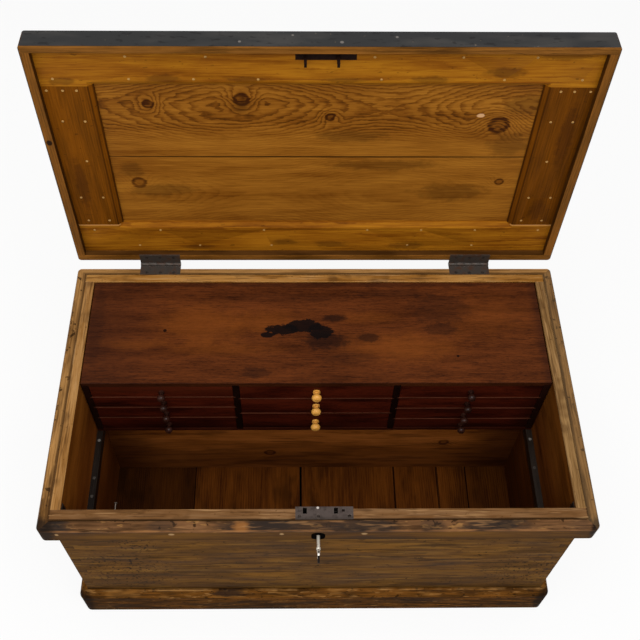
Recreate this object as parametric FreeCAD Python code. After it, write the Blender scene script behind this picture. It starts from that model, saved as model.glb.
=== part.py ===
import FreeCAD
import Part
import math
import os

# A joiner's pine tool chest with its lid open, and a sliding nest of mahogany drawers inside it.
# Lengths are millimetres and angles are degrees. +Z is up, the front faces -Y, +X is to the right.
# The origin is on the ground, under the middle of the walls.

# Carcass
rim_width = 950.0
rim_depth = 539.0
wall_top = 483.0
wall = 18.0
floor_board = 12.0
floor_seam_gap = 1.0
wide_floor_seam_gap = 3.0
wide_floor_seam = 1
floor_tongue_thickness = 4.0
floor_tongue_depth = 6.0
floor_tongue_slack = 0.3
floor_seam_shares = (0.21, 0.47, 0.70, 0.81, 0.88)

# Dovetails: six pins on each end of the side walls, let through the front and back walls
pin_count = 6
pin_narrow_width = 9.0
pin_slope_share = 1 / 6

# Rim moulding round the top, a step lower than the wall tops
# The front strip is the thinnest, since the front has been planed and rubbed the most
front_moulding = 16.0
side_moulding = 21.0
moulding_height = 50.0
rim_step = 5.5
moulding_corner_radius = 10.0
moulding_back_radius = 5.0
moulding_bevel = 4.0
moulding_bevel_height = 8.0
moulding_arris = 2.5
mitre_overrun_share = 0.5

# Plinth
front_plinth = 12.5
side_plinth = 20.0
plinth_height = 104.0
plinth_bevel_height = 24.0
plinth_bevel = 8.0
plinth_corner_radius = 12.0
plinth_back_radius = 6.0

# Nest of drawers, which slides on two runners
till_depth = 224.0
till_side_gap = 2.0
till_back_gap = 2.0
till_top_gap = 1.0
till_height = 195.7
till_float = 0.3
till_top_board = 13.0
till_bottom_board = 10.0
till_end = 12.0
till_divider = 12.0
till_back_board = 8.0
till_shelf = 2.5
till_groove = 4.0
shelf_groove = 3.0
centre_column_width = 288.0
left_drawer_shares = (0.24, 0.24, 0.25, 0.27)
centre_drawer_shares = (0.28, 0.35, 0.37)
right_drawer_shares = (0.266, 0.251, 0.259, 0.224)
left_knob_shares = (0.50, 0.51, 0.47, 0.43)
centre_knob_shares = (0.56, 0.53, 0.47)
right_knob_shares = (0.54, 0.47, 0.40, 0.40)

# Drawers
drawer_setback = 0.8
drawer_side_gap = 0.6
drawer_float = 0.3
drawer_head_gap = 0.9
drawer_back_gap = 4.0
drawer_front = 11.0
drawer_side = 6.0
drawer_bottom = 3.5
drawer_bottom_rise = 3.0
drawer_groove = 2.5

# Drawer knobs, turned with a spigot
dark_knob_radius = 7.5
pale_knob_radius = 9.3
knob_projection = 20.0
knob_flange_share = 0.74
knob_neck_share = 0.45
knob_flange_thickness = 3.5
knob_spigot_radius = 3.5
knob_spigot_length = 8.0

# Runners on the side walls
runner_width = 12.0
runner_height = 22.0
runner_nail_radius = 3.0
runner_nail_head = 1.5
runner_nail_shank_radius = 1.2
runner_nail_length = 17.0
left_runner_nail_shares = (0.22, 0.30, 0.47, 0.66, 0.85)
right_runner_nail_shares = (0.34, 0.47, 0.66, 0.85)

# Board that closes off the well behind, let into the side walls
partition = 12.0
partition_setback = 40.0
partition_head_gap = 4.0
partition_groove = 5.0

# Small irons in the front corners, and a nail to hang a saw on
corner_iron_leg = 14.0
corner_iron_thickness = 1.6
corner_iron_height = 42.0
corner_iron_drop = 6.0
hanging_nail_inset = 91.0
hanging_nail_drop = 7.0
hanging_nail_reach = 15.0
hanging_nail_sunk = 12.0
hanging_nail_radius = 1.3
hanging_nail_head_radius = 3.0
hanging_nail_head = 1.2

# Lock, let into the inside of the front wall
lock_offset = 9.0
lock_plate_length = 98.0
lock_plate_overhang = 4.0
lock_plate = 2.5
lock_case_inset = 2.0
lock_case_sunk = 10.0
lock_case_height = 64.0
lock_sheet = 1.5
lock_slot_width = 6.8
lock_slot_length = 10.4
spare_slot_offset = 32.0
spare_slot_width = 5.0
spare_slot_length = 4.0
staple_spacing = 52.5
staple_offset = -6.7
staple_thickness = 4.5
staple_width = 8.4
staple_reach = 21.0
staple_eye_width = 5.2
staple_eye_height = 6.2
staple_eye_rise = 2.2
link_plate_width = 12.0
link_plate = 2.5

# Lock bolt, two tongues on a sliding bar
bolt_bar = 2.0
bolt_bar_height = 12.0
bolt_bar_drop = 28.0
bolt_post_width = 8.0
bolt_tongue_length = 9.5
bolt_tongue_thickness = 4.0
bolt_tongue_width = 4.0
bolt_rest_gap = 1.5
bolt_back_gap = 0.4
bolt_play = 0.3
bolt_throw = 8.0
bolt_ledge = 3.0
talon_near_gap = 4.5
talon_width = 14.0
talon_depth = 8.0

# Key, with a hollow barrel that turns on a pin in the lock
keyhole_offset = -10.0
keyhole_drop = 36.0
keyhole_radius = 4.2
keyhole_slot_width = 5.0
keyhole_slot_depth = 16.0
key_barrel_radius = 2.7
key_reach = 46.0
key_tip_gap = 0.5
key_bit_width = 9.5
key_bit_radius = 15.0
key_bit_thickness = 3.0
key_collar_radius = 3.6
key_collar_length = 3.0
key_bow_radius = 11.5
key_bow_hole_radius = 6.5
key_bow_thickness = 3.4
drill_pin_radius = 1.6
drill_pin_length = 10.0
running_gap = 0.05
escutcheon = 1.2
escutcheon_width = 24.0
escutcheon_height = 34.0
escutcheon_seat_drop = 1.0

# Lid, drawn shut and then swung open
lid_opening_angle = 92.4
lid_gap = 0.6
lid_overhang = 1.0
lid_side_inset = 4.0
lid_back_inset = 5.0
lid_thickness = 36.5
lid_skirt = 15.0
lid_back_skirt = 15.0
lid_recess = 13.0
lid_rail = 79.0
lid_stile = 85.0
lid_panel = 13.5
lid_rebate = 8.0
lid_bevel = 9.0
lid_bevel_depth = 7.0
lid_corner_radius = 6.0
lid_tenon = 8.0
lid_tenon_length = 24.0
lid_tenon_margin = 12.0

# Nails that hold the lid's frame
nail_head_radius = 2.2
nail_head = 0.6
nail_shank_radius = 1.0
nail_length = 13.0
front_rail_outer_nail_shares = (-0.68, -0.40, 0.19, 0.50, 0.76)
front_rail_inner_nail_shares = (-0.95, -0.68, -0.45, -0.22, 0.22, 0.66, 0.94)
rail_nail_row_shares = (0.24, 0.90)
stile_nail_shares = ((0.10, 0.02), (0.45, 0.02), (0.75, 0.02), (0.28, 0.22), (0.78, 0.22),
                     (0.60, 0.50), (0.24, 0.78), (0.78, 0.78), (0.28, 0.97), (0.80, 0.97))

# Butt hinges with their pin proud of the back
hinge_offset = 309.0
hinge_length = 80.0
hinge_leaf = 2.5
hinge_standoff = 7.7
hinge_knuckle_radius = 4.0
hinge_pin_radius = 2.0
hinge_knuckle_count = 5
hinge_knuckle_gap = 0.3
hinge_sweep_gap = 0.6
hinge_screw_count = 3
screw_head_radius = 3.4
screw_head = 1.6
screw_shank_radius = 1.6
screw_length = 14.0
screw_slot_width = 1.0
screw_slot_depth = 0.9

# Drop handles on the two ends
handle_height = 300.0
handle_plate_length = 134.0
handle_plate_height = 44.0
handle_plate = 3.0
handle_plate_radius = 10.0
handle_axis_standoff = 11.0
handle_lug_radius = 6.5
handle_lug_width = 12.0
handle_lug_offset = 49.0
handle_leg_offset = 61.0
handle_drop = 56.0
handle_bar_radius = 4.5
handle_pin_radius = 3.5
handle_pin_tail = 2.0
handle_corner_radius = 16.0
handle_screw_inset = 11.0

# One overrun serves every cut that passes right through a piece
overrun = 1.0

carcass_width = rim_width - 2 * side_moulding
carcass_depth = rim_depth - front_moulding - side_moulding
rim_front = carcass_depth / 2 + front_moulding
rim_back = carcass_depth / 2 + side_moulding
inner_width = carcass_width - 2 * wall
inner_depth = carcass_depth - 2 * wall
wall_height = wall_top - floor_board
moulding_top = wall_top - rim_step

till_top = wall_top - till_top_gap
till_floor = till_top - till_height
till_back = inner_depth / 2 - till_back_gap
till_face = till_back - till_depth
till_half_width = inner_width / 2 - till_side_gap
runner_top = till_floor - till_float
drawers_floor = till_floor + till_bottom_board
drawers_ceiling = till_top - till_top_board
partition_face = till_face + partition_setback
partition_top = till_floor - partition_head_gap

wall_inner_face = -inner_depth / 2
lock_plate_underside = wall_top - lock_plate
lock_case_front = wall_inner_face - lock_case_sunk
lock_case_back = wall_inner_face + lock_plate_overhang
lock_left = lock_offset - lock_plate_length / 2
lock_right = lock_offset + lock_plate_length / 2
lock_slot_y = (lock_case_front + lock_case_back) / 2
staple_places = [lock_offset + staple_offset - staple_spacing / 2,
                 lock_offset + staple_offset + staple_spacing / 2]
key_x = lock_offset + keyhole_offset
key_z = wall_top - keyhole_drop

rim_plane = moulding_top + lid_gap
hinge_y = rim_back + hinge_standoff
hinge_z = moulding_top + lid_gap / 2
lid_half_width = rim_width / 2 - lid_side_inset
lid_front = -rim_front - lid_overhang
lid_back = rim_back - lid_back_inset
lid_top = rim_plane + lid_thickness
frame_underside = rim_plane + lid_recess
frame_front = lid_front + lid_skirt
frame_back = lid_back - lid_back_skirt
frame_half_width = lid_half_width - lid_skirt
panel_front = frame_front + lid_rail
panel_back = frame_back - lid_rail
panel_half_width = frame_half_width - lid_stile

X_AXIS = FreeCAD.Vector(1, 0, 0)
Y_AXIS = FreeCAD.Vector(0, 1, 0)
Z_AXIS = FreeCAD.Vector(0, 0, 1)


def at(x, y, z):
    return FreeCAD.Vector(x, y, z)


def block(x_low, x_high, y_low, y_high, z_low, z_high):
    """A plain board between two corners."""
    return Part.makeBox(x_high - x_low, y_high - y_low, z_high - z_low, at(x_low, y_low, z_low))


def rod(radius, length, start, direction):
    return Part.makeCylinder(radius, length, start, direction)


def prism(points, run):
    """A closed outline pushed along a vector."""
    outline = Part.makePolygon(points + points[:1])
    return Part.Face(outline).extrude(run)


def one_solid(shape):
    """The single solid of a cut or joined shape, with flush faces merged."""
    return shape.removeSplitter().Solids[0]


def upright_edges(shape):
    return [edge for edge in shape.Edges
            if edge.BoundBox.XLength + edge.BoundBox.YLength < running_gap]


def outline_at(shape, height):
    """The outline of a shape's level face at this height."""
    return [face.OuterWire for face in shape.Faces
            if face.BoundBox.ZLength < running_gap and abs(face.CenterOfMass.z - height) < running_gap][0]


def rounded_block(half_width, front, back, z_low, z_high, radius, back_radius):
    """A block round the middle of the chest with its upright corners rounded, less so at the back."""
    plain = block(-half_width, half_width, -front, back, z_low, z_high)
    behind = [edge for edge in upright_edges(plain) if edge.CenterOfMass.y > 0]
    eased = plain.makeFillet(back_radius, behind)
    ahead = [edge for edge in upright_edges(eased) if edge.CenterOfMass.y < 0]
    return eased.makeFillet(radius, ahead)


def bevelled_block(half_width, front, back, z_low, z_top, radius, back_radius, bevel, bevel_height):
    """A rounded block whose upper edge is bevelled all round."""
    face_top = z_top - bevel_height
    lower = rounded_block(half_width, front, back, z_low, face_top, radius, back_radius)
    upper = rounded_block(half_width - bevel, front - bevel, back - bevel, face_top, z_top,
                          radius, back_radius)
    slope = Part.makeLoft([outline_at(lower, face_top), outline_at(upper, z_top)], True, True)
    return lower.fuse(slope)


def mitre_line(side, half_width, reach, z):
    """The two ends of one mitre, from past the outer corner of a frame to the walls' own corner."""
    wall_corner = at(side * carcass_width / 2, math.copysign(carcass_depth / 2, reach), z)
    corner = at(side * half_width, reach, z)
    return [corner + (corner - wall_corner) * mitre_overrun_share, wall_corner]


def mitred_pieces(ring, half_width, front, back, z_low, z_high):
    """Four pieces of a frame that meet in mitres at its corners, in the order front, back, left, right."""
    run = at(0, 0, z_high - z_low)
    front_left, front_right, back_left, back_right = [
        mitre_line(side, half_width, reach, z_low) for reach in (-front, back) for side in (-1, 1)]
    pairs = ((front_left, front_right), (back_left, back_right),
             (front_left, back_left), (front_right, back_right))
    return [one_solid(ring.common(prism(first + second[::-1], run))) for first, second in pairs]


def dovetail_pins(side):
    """The pins of one side wall, which pass through the front and back walls."""
    outer = side * carcass_width / 2
    inner = side * inner_width / 2
    narrow = pin_narrow_width / 2
    wide = narrow + wall * pin_slope_share
    pins = []
    for end in (-carcass_depth / 2, inner_depth / 2):
        for number in range(pin_count):
            middle = floor_board + wall_height * (number + 1) / (pin_count + 1)
            points = [at(outer, end, middle - narrow), at(outer, end, middle + narrow),
                      at(inner, end, middle + wide), at(inner, end, middle - wide)]
            pins.append(prism(points, at(0, wall, 0)))
    return pins


def side_wall(side):
    """A side wall with its pins, and the groove that holds the partition."""
    outer = side * carcass_width / 2
    inner = side * inner_width / 2
    board = block(min(outer, inner), max(outer, inner), -inner_depth / 2, inner_depth / 2,
                  floor_board, wall_top)
    board = board.fuse(dovetail_pins(side))
    board = board.removeSplitter()
    groove_end = side * (inner_width / 2 + partition_groove)
    groove = block(min(inner, groove_end), max(inner, groove_end), partition_face, partition_face + partition,
                   floor_board, runner_top - runner_height)
    return one_solid(board.cut(groove))


def long_wall(y_low):
    """The front or back wall before anything is let into it."""
    board = block(-carcass_width / 2, carcass_width / 2, y_low, y_low + wall, floor_board, wall_top)
    return board.cut(dovetail_pins(-1) + dovetail_pins(1))


def keyhole(y_low, y_high):
    """A keyhole cutter: a round hole with a slot below it for the bit."""
    length = y_high - y_low
    hole = rod(keyhole_radius, length, at(key_x, y_low, key_z), Y_AXIS)
    slot = block(key_x - keyhole_slot_width / 2, key_x + keyhole_slot_width / 2, y_low, y_high,
                 key_z - keyhole_slot_depth, key_z)
    return hole.fuse(slot)


def lock_case_outline():
    return block(lock_left + lock_case_inset, lock_right - lock_case_inset, lock_case_front, lock_case_back,
                 lock_plate_underside - lock_case_height, lock_plate_underside)


def front_wall():
    """The front wall, cut for the lock, its plate, the keyhole and the hanging nail."""
    board = long_wall(-carcass_depth / 2)
    board = board.cut(lock_case_outline())
    board = board.cut(block(lock_left, lock_right, -carcass_depth / 2 - overrun, lock_case_back,
                            lock_plate_underside, wall_top + overrun))
    board = board.cut(keyhole(-carcass_depth / 2 - overrun, wall_inner_face + overrun))
    board = board.cut(hanging_nail())
    board = board.cut(screw_seats(lock_plate_screw_places()))
    return one_solid(board)


def floor_slat(left, right, thickness):
    """A strip of the floor from front to back, centred in the thickness of the boards."""
    return block(left, right, -carcass_depth / 2, carcass_depth / 2,
                 (floor_board - thickness) / 2, (floor_board + thickness) / 2)


def floor_boards():
    """Tongued boards laid front to back under the walls, shrunk a little apart at their seams."""
    edges = [-carcass_width / 2]
    for number, share in enumerate(floor_seam_shares):
        gap = wide_floor_seam_gap if number == wide_floor_seam else floor_seam_gap
        seam = carcass_width * (share - 1 / 2)
        edges += [seam - gap / 2, seam + gap / 2]
    edges.append(carcass_width / 2)
    boards = []
    for number, (left, right) in enumerate(zip(edges[::2], edges[1::2])):
        board = floor_slat(left, right, floor_board)
        if number:
            tip = edges[2 * number - 1] - floor_tongue_depth
            board = board.fuse(floor_slat(tip, left, floor_tongue_thickness))
        if right < carcass_width / 2:
            root = right - floor_tongue_depth - floor_tongue_slack
            groove = floor_tongue_thickness + 2 * floor_tongue_slack
            board = board.cut(floor_slat(root, right, groove))
        boards.append(one_solid(board))
    return boards


def rim_moulding():
    """Four mitred strips round the walls, bevelled along the top, with rounded corners."""
    low = moulding_top - moulding_height
    solid = bevelled_block(rim_width / 2, rim_front, rim_back, low, moulding_top,
                           moulding_corner_radius, moulding_back_radius,
                           moulding_bevel, moulding_bevel_height)
    foot = [edge for edge in solid.Edges if edge.BoundBox.ZMax < low + running_gap]
    solid = solid.makeChamfer(moulding_arris, foot)
    hole = block(-carcass_width / 2, carcass_width / 2, -carcass_depth / 2, carcass_depth / 2,
                 low - overrun, moulding_top + overrun)
    front, back, left, right = mitred_pieces(solid.cut(hole), rim_width / 2, rim_front, rim_back,
                                             low - overrun, moulding_top + overrun)
    front = front.cut(keyhole(-rim_front - overrun, -carcass_depth / 2 + overrun))
    front = front.cut(escutcheon_outline())
    back = back.cut([hinge_leaf_plate(side) for side in (-1, 1)])
    back = back.cut(screw_seats(chest_hinge_screw_places()))
    return [one_solid(front), one_solid(back), left, right]


def plinth_strips():
    """Four mitred strips round the foot, bevelled along the top."""
    half_width = carcass_width / 2 + side_plinth
    front = carcass_depth / 2 + front_plinth
    back = carcass_depth / 2 + side_plinth
    solid = bevelled_block(half_width, front, back, 0, plinth_height,
                           plinth_corner_radius, plinth_back_radius,
                           plinth_bevel, plinth_bevel_height)
    hole = block(-carcass_width / 2, carcass_width / 2, -carcass_depth / 2, carcass_depth / 2,
                 -overrun, plinth_height + overrun)
    return mitred_pieces(solid.cut(hole), half_width, front, back, -overrun, plinth_height + overrun)


def well_partition():
    """The board that stands across the chest under the drawers, notched round the runners."""
    reach = inner_width / 2 + partition_groove
    runner_low = runner_top - runner_height
    between_runners = inner_width / 2 - runner_width
    lower = block(-reach, reach, partition_face, partition_face + partition, floor_board, runner_low)
    upper = block(-between_runners, between_runners, partition_face, partition_face + partition,
                  runner_low, partition_top)
    return one_solid(lower.fuse(upper))


def runner_nails():
    """Flush nails along the top of each runner, polished by the nest that slides over them."""
    nails = []
    for side, shares in ((-1, left_runner_nail_shares), (1, right_runner_nail_shares)):
        x = side * (inner_width / 2 - runner_width / 2)
        for share in shares:
            y = wall_inner_face + share * inner_depth
            top = at(x, y, runner_top)
            head = rod(runner_nail_radius, runner_nail_head, top, -Z_AXIS)
            shank = rod(runner_nail_shank_radius, runner_nail_length, top, -Z_AXIS)
            nails.append(one_solid(head.fuse(shank)))
    return nails


def till_runners():
    """A dark hardwood strip along each side wall, from the front wall to the back wall."""
    strips = []
    for side in (-1, 1):
        outer = side * inner_width / 2
        inner = outer - side * runner_width
        strip = block(min(outer, inner), max(outer, inner), -inner_depth / 2, inner_depth / 2,
                      runner_top - runner_height, runner_top)
        strips.append(one_solid(strip.cut(runner_nails())))
    return strips


def corner_irons():
    """A small bent iron in each front corner, just under the rim."""
    irons = []
    high = wall_top - corner_iron_drop
    low = high - corner_iron_height
    for side in (-1, 1):
        corner = side * inner_width / 2
        inside = corner - side * corner_iron_thickness
        tip = corner - side * corner_iron_leg
        along_side = block(min(corner, inside), max(corner, inside), wall_inner_face,
                           wall_inner_face + corner_iron_leg, low, high)
        along_front = block(min(corner, tip), max(corner, tip), wall_inner_face,
                            wall_inner_face + corner_iron_thickness, low, high)
        irons.append(one_solid(along_side.fuse(along_front)))
    return irons


def hanging_nail():
    """A round nail driven into the front wall just under its top."""
    x = hanging_nail_inset - inner_width / 2
    z = wall_top - hanging_nail_drop
    tip = wall_inner_face + hanging_nail_reach
    shank = rod(hanging_nail_radius, hanging_nail_sunk + hanging_nail_reach,
                at(x, wall_inner_face - hanging_nail_sunk, z), Y_AXIS)
    head = rod(hanging_nail_head_radius, hanging_nail_head, at(x, tip - hanging_nail_head, z), Y_AXIS)
    return one_solid(shank.fuse(head))


def lock_case():
    """A sheet iron box, open at the top, with a keyhole in front and a pin that carries the key."""
    case = lock_case_outline()
    hollow = block(lock_left + lock_case_inset + lock_sheet, lock_right - lock_case_inset - lock_sheet,
                   lock_case_front + lock_sheet, lock_case_back - lock_sheet,
                   lock_plate_underside - lock_case_height + lock_sheet, lock_plate_underside + overrun)
    case = case.cut(hollow)
    case = case.cut(keyhole(lock_case_front - overrun, lock_case_front + lock_sheet + overrun))
    case = case.cut(screw_seats(lock_plate_screw_places()))
    pin = rod(drill_pin_radius, drill_pin_length, at(key_x, lock_case_back - lock_sheet, key_z), -Y_AXIS)
    return one_solid(case.fuse(bolt_ledges() + [pin]))


def bolt_ledges():
    """Two ledges on the case's back that carry the bolt as it slides."""
    back = lock_case_back - lock_sheet
    high = wall_top - bolt_bar_drop - bolt_play
    ledges = []
    for place in staple_places:
        post_left = bolt_post_left(place)
        ledges.append(block(post_left - bolt_throw, post_left + bolt_post_width / 2,
                            back - bolt_back_gap - bolt_bar, back, high - bolt_ledge, high))
    return ledges


def plate_slot(x, width, length):
    return block(x - width / 2, x + width / 2, lock_slot_y - length / 2, lock_slot_y + length / 2,
                 lock_plate_underside - overrun, wall_top + overrun)


def lock_top_plate():
    """The lock's plate, let flush into the wall's top, with two slots for the staples."""
    plate = block(lock_left, lock_right, -carcass_depth / 2, lock_case_back, lock_plate_underside, wall_top)
    slots = [plate_slot(x, lock_slot_width, lock_slot_length) for x in staple_places]
    slots.append(plate_slot(lock_offset + spare_slot_offset, spare_slot_width, spare_slot_length))
    return one_solid(plate.cut(slots).cut(screw_seats(lock_plate_screw_places())))


def bolt_post_left(place):
    """Left side of the post whose tongue serves the staple at this place, with the bolt drawn back."""
    return place + staple_thickness / 2 + bolt_rest_gap + bolt_tongue_length


def lock_bolt():
    """A bar above the key with two posts, each carrying a tongue that slides into a staple's eye."""
    bar_back = lock_case_back - lock_sheet - bolt_back_gap
    bar_front = bar_back - bolt_bar
    bar_low = wall_top - bolt_bar_drop
    tongue_low = rim_plane + lid_recess - staple_reach + staple_eye_rise
    tongue_low += (staple_eye_height - bolt_tongue_thickness) / 2
    tongue_high = tongue_low + bolt_tongue_thickness
    bolt = None
    for place in staple_places:
        post_left = bolt_post_left(place)
        post_right = post_left + bolt_post_width
        tongue_front = lock_slot_y - bolt_tongue_width / 2
        post = block(post_left, post_right, bar_front, bar_back, bar_low, tongue_high)
        neck = block(post_left, post_right, tongue_front, bar_back, tongue_low, tongue_high)
        tongue = block(post_left - bolt_tongue_length, post_left, tongue_front,
                       tongue_front + bolt_tongue_width, tongue_low, tongue_high)
        prong = post.fuse([neck, tongue])
        bolt = prong if bolt is None else bolt.fuse(prong)
    bar = block(bolt_post_left(staple_places[0]), bolt_post_left(staple_places[1]) + bolt_post_width,
                bar_front, bar_back, bar_low, bar_low + bolt_bar_height)
    talon_left = key_x + key_bit_thickness / 2 + talon_near_gap
    talon = block(talon_left, talon_left + talon_width, bar_front, bar_back, bar_low, bar_low + talon_depth)
    return one_solid(bolt.fuse(bar).cut(talon))


def key():
    """A pipe key: hollow barrel on the lock's pin, flat bit, collar and ring bow."""
    tip = lock_case_back - lock_sheet - key_tip_gap
    end = -rim_front - key_reach
    bow_middle = end + key_bow_radius
    barrel = rod(key_barrel_radius, tip - bow_middle - key_bow_hole_radius,
                 at(key_x, bow_middle + key_bow_hole_radius, key_z), Y_AXIS)
    collar = rod(key_collar_radius, key_collar_length, at(key_x, bow_middle + key_bow_radius, key_z), Y_AXIS)
    bow_left = at(key_x - key_bow_thickness / 2, bow_middle, key_z)
    bow = rod(key_bow_radius, key_bow_thickness, bow_left, X_AXIS)
    bow = bow.cut(rod(key_bow_hole_radius, key_bow_thickness, bow_left, X_AXIS))
    bit = block(key_x - key_bit_thickness / 2, key_x + key_bit_thickness / 2,
                tip - key_bit_width, tip, key_z - key_bit_radius, key_z)
    whole = barrel.fuse([collar, bow, bit])
    bore = rod(drill_pin_radius + running_gap, drill_pin_length + overrun, at(key_x, tip, key_z), -Y_AXIS)
    return one_solid(whole.cut(bore))


def escutcheon_outline():
    """The oval plate round the keyhole, let flush into the moulding."""
    y = -rim_front
    radius = escutcheon_width / 2
    straight = escutcheon_height - escutcheon_width
    middle = key_z - escutcheon_seat_drop
    upper = rod(radius, escutcheon, at(key_x, y, middle + straight / 2), Y_AXIS)
    lower = rod(radius, escutcheon, at(key_x, y, middle - straight / 2), Y_AXIS)
    waist = block(key_x - radius, key_x + radius, y, y + escutcheon,
                  middle - straight / 2, middle + straight / 2)
    return upper.fuse([lower, waist]).removeSplitter()


def keyhole_escutcheon():
    return one_solid(escutcheon_outline().cut(keyhole(-rim_front - overrun, -carcass_depth / 2)))


def countersunk_screw(head_at, direction):
    """A screw whose flat head lies flush at the given point, with its shank along the direction."""
    cone = Part.makeCone(screw_head_radius, screw_shank_radius, screw_head, head_at, direction)
    shank = rod(screw_shank_radius, screw_length, head_at, direction)
    return one_solid(cone.fuse(shank))


def screw_slot(head_at, direction):
    """The slot across a screw's head."""
    along = X_AXIS if direction.x == 0 else Y_AXIS
    across = direction.cross(along)
    end = along * screw_head_radius
    side = across * (screw_slot_width / 2)
    points = [head_at - end - side, head_at + end - side, head_at + end + side, head_at - end + side]
    return prism(points, direction * screw_slot_depth)


def screw_seats(places):
    """The holes that a group of screws takes in the pieces it holds."""
    return [countersunk_screw(*place) for place in places]


def slotted_screws(places):
    return [one_solid(countersunk_screw(*place).cut(screw_slot(*place))) for place in places]


def lock_plate_screw_places():
    """Three short screws through the lock's plate: one near each end and one by the inner edge."""
    inset = lock_case_inset + lock_sheet + screw_head_radius
    y = -carcass_depth / 2 + screw_head_radius + lock_sheet
    places = [lock_left + inset, lock_right - inset, key_x]
    return [(at(x, y, wall_top), -Z_AXIS) for x in places]


def hinge_screw_spots(side):
    """Places along one leaf for its screws, in the middle of the part that lies on wood."""
    y = (frame_back + lid_back) / 2
    pitch = hinge_length / hinge_screw_count
    first = side * hinge_offset - hinge_length / 2 + pitch / 2
    return [(first + pitch * number, y) for number in range(hinge_screw_count)]


def chest_hinge_screw_places():
    return [(at(x, y, moulding_top), -Z_AXIS) for side in (-1, 1) for x, y in hinge_screw_spots(side)]


def hinge_leaf_plate(side):
    """The flat of a chest leaf, let flush into the moulding's top."""
    middle = side * hinge_offset
    return block(middle - hinge_length / 2, middle + hinge_length / 2, frame_back,
                 hinge_y - hinge_knuckle_radius - hinge_sweep_gap, moulding_top - hinge_leaf, moulding_top)


def hinge_leaf_shape(side, first_knuckle, z_low, z_high, bore_radius):
    """One leaf with every second knuckle, starting from the given one."""
    middle = side * hinge_offset
    left = middle - hinge_length / 2
    pitch = hinge_length / hinge_knuckle_count
    leaf = block(left, left + hinge_length, frame_back, hinge_y - hinge_knuckle_radius - hinge_sweep_gap,
                 z_low, z_high)
    for number in range(first_knuckle, hinge_knuckle_count, 2):
        start = left + pitch * number + (hinge_knuckle_gap / 2 if number else 0)
        end = left + pitch * (number + 1) - (hinge_knuckle_gap / 2 if number + 1 < hinge_knuckle_count else 0)
        tail = block(start, end, hinge_y - hinge_knuckle_radius - hinge_sweep_gap, hinge_y, z_low, z_high)
        knuckle = rod(hinge_knuckle_radius, end - start, at(start, hinge_y, hinge_z), X_AXIS)
        leaf = leaf.fuse([tail, knuckle])
    bore = rod(bore_radius, hinge_length + 2 * overrun, at(left - overrun, hinge_y, hinge_z), X_AXIS)
    return leaf.cut(bore)


def chest_hinge_leaves():
    leaves = []
    for side in (-1, 1):
        leaf = hinge_leaf_shape(side, 0, moulding_top - hinge_leaf, moulding_top, hinge_pin_radius)
        leaves.append(one_solid(leaf.cut(screw_seats(chest_hinge_screw_places()))))
    return leaves


def hinge_pins():
    starts = [at(side * hinge_offset - hinge_length / 2, hinge_y, hinge_z) for side in (-1, 1)]
    return [rod(hinge_pin_radius, hinge_length, start, X_AXIS) for start in starts]


def opened(shape):
    """A piece of the shut lid, swung back about the hinge pins."""
    turned = shape.copy()
    turned.rotate(at(0, hinge_y, hinge_z), X_AXIS, -lid_opening_angle)
    return turned


def lid_hinge_screw_places():
    return [(at(x, y, rim_plane), Z_AXIS) for side in (-1, 1) for x, y in hinge_screw_spots(side)]


def lid_hinge_leaves():
    leaves = []
    for side in (-1, 1):
        leaf = hinge_leaf_shape(side, 1, rim_plane, rim_plane + hinge_leaf, hinge_pin_radius + running_gap)
        leaves.append(one_solid(leaf.cut(screw_seats(lid_hinge_screw_places()))))
    return leaves


def lid_leaf_seat(side):
    middle = side * hinge_offset
    return block(middle - hinge_length / 2, middle + hinge_length / 2, frame_back - overrun,
                 lid_back + overrun, rim_plane, rim_plane + hinge_leaf)


def lid_outline():
    """The lid's outer block with its corners rounded."""
    plain = block(-lid_half_width, lid_half_width, lid_front, lid_back, rim_plane, lid_top)
    return plain.makeFillet(lid_corner_radius, upright_edges(plain))


def lid_skirt():
    """Four strips round the lid: front and back run the whole width, the sides butt between them."""
    outline = lid_outline()
    front = block(-lid_half_width, lid_half_width, lid_front, frame_front, rim_plane, lid_top)
    back = block(-lid_half_width, lid_half_width, frame_back, lid_back, rim_plane, lid_top)
    left = block(-lid_half_width, -frame_half_width, frame_front, frame_back, rim_plane, lid_top)
    right = block(frame_half_width, lid_half_width, frame_front, frame_back, rim_plane, lid_top)
    back = back.cut([lid_leaf_seat(side) for side in (-1, 1)]).cut(screw_seats(lid_hinge_screw_places()))
    return [one_solid(strip.common(outline)) for strip in (front, back, left, right)]


def lid_bevel_cutter():
    """The splayed cutter that bevels the frame all round the panel."""
    wide = block(-panel_half_width - lid_bevel, panel_half_width + lid_bevel, panel_front - lid_bevel,
                 panel_back + lid_bevel, frame_underside, frame_underside + lid_bevel_depth)
    narrow = block(-panel_half_width, panel_half_width, panel_front, panel_back, frame_underside,
                   frame_underside + lid_bevel_depth)
    return Part.makeLoft([outline_at(wide, frame_underside),
                          outline_at(narrow, frame_underside + lid_bevel_depth)], True, True)


def lid_panel_seat():
    """The space of the panel, which lies in a rebate of the frame and is flush on top."""
    return block(-panel_half_width - lid_rebate, panel_half_width + lid_rebate, panel_front - lid_rebate,
                 panel_back + lid_rebate, lid_top - lid_panel, lid_top)


def stile_tenons(side):
    """The tongues at both ends of a stile."""
    outer = side * (frame_half_width - lid_tenon_margin)
    inner = side * (panel_half_width + lid_tenon_margin)
    z_low = frame_underside + lid_bevel_depth
    tenons = []
    for y_low in (panel_front - lid_tenon_length, panel_back):
        tenons.append(block(min(outer, inner), max(outer, inner), y_low, y_low + lid_tenon_length,
                            z_low, z_low + lid_tenon))
    return tenons


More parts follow.
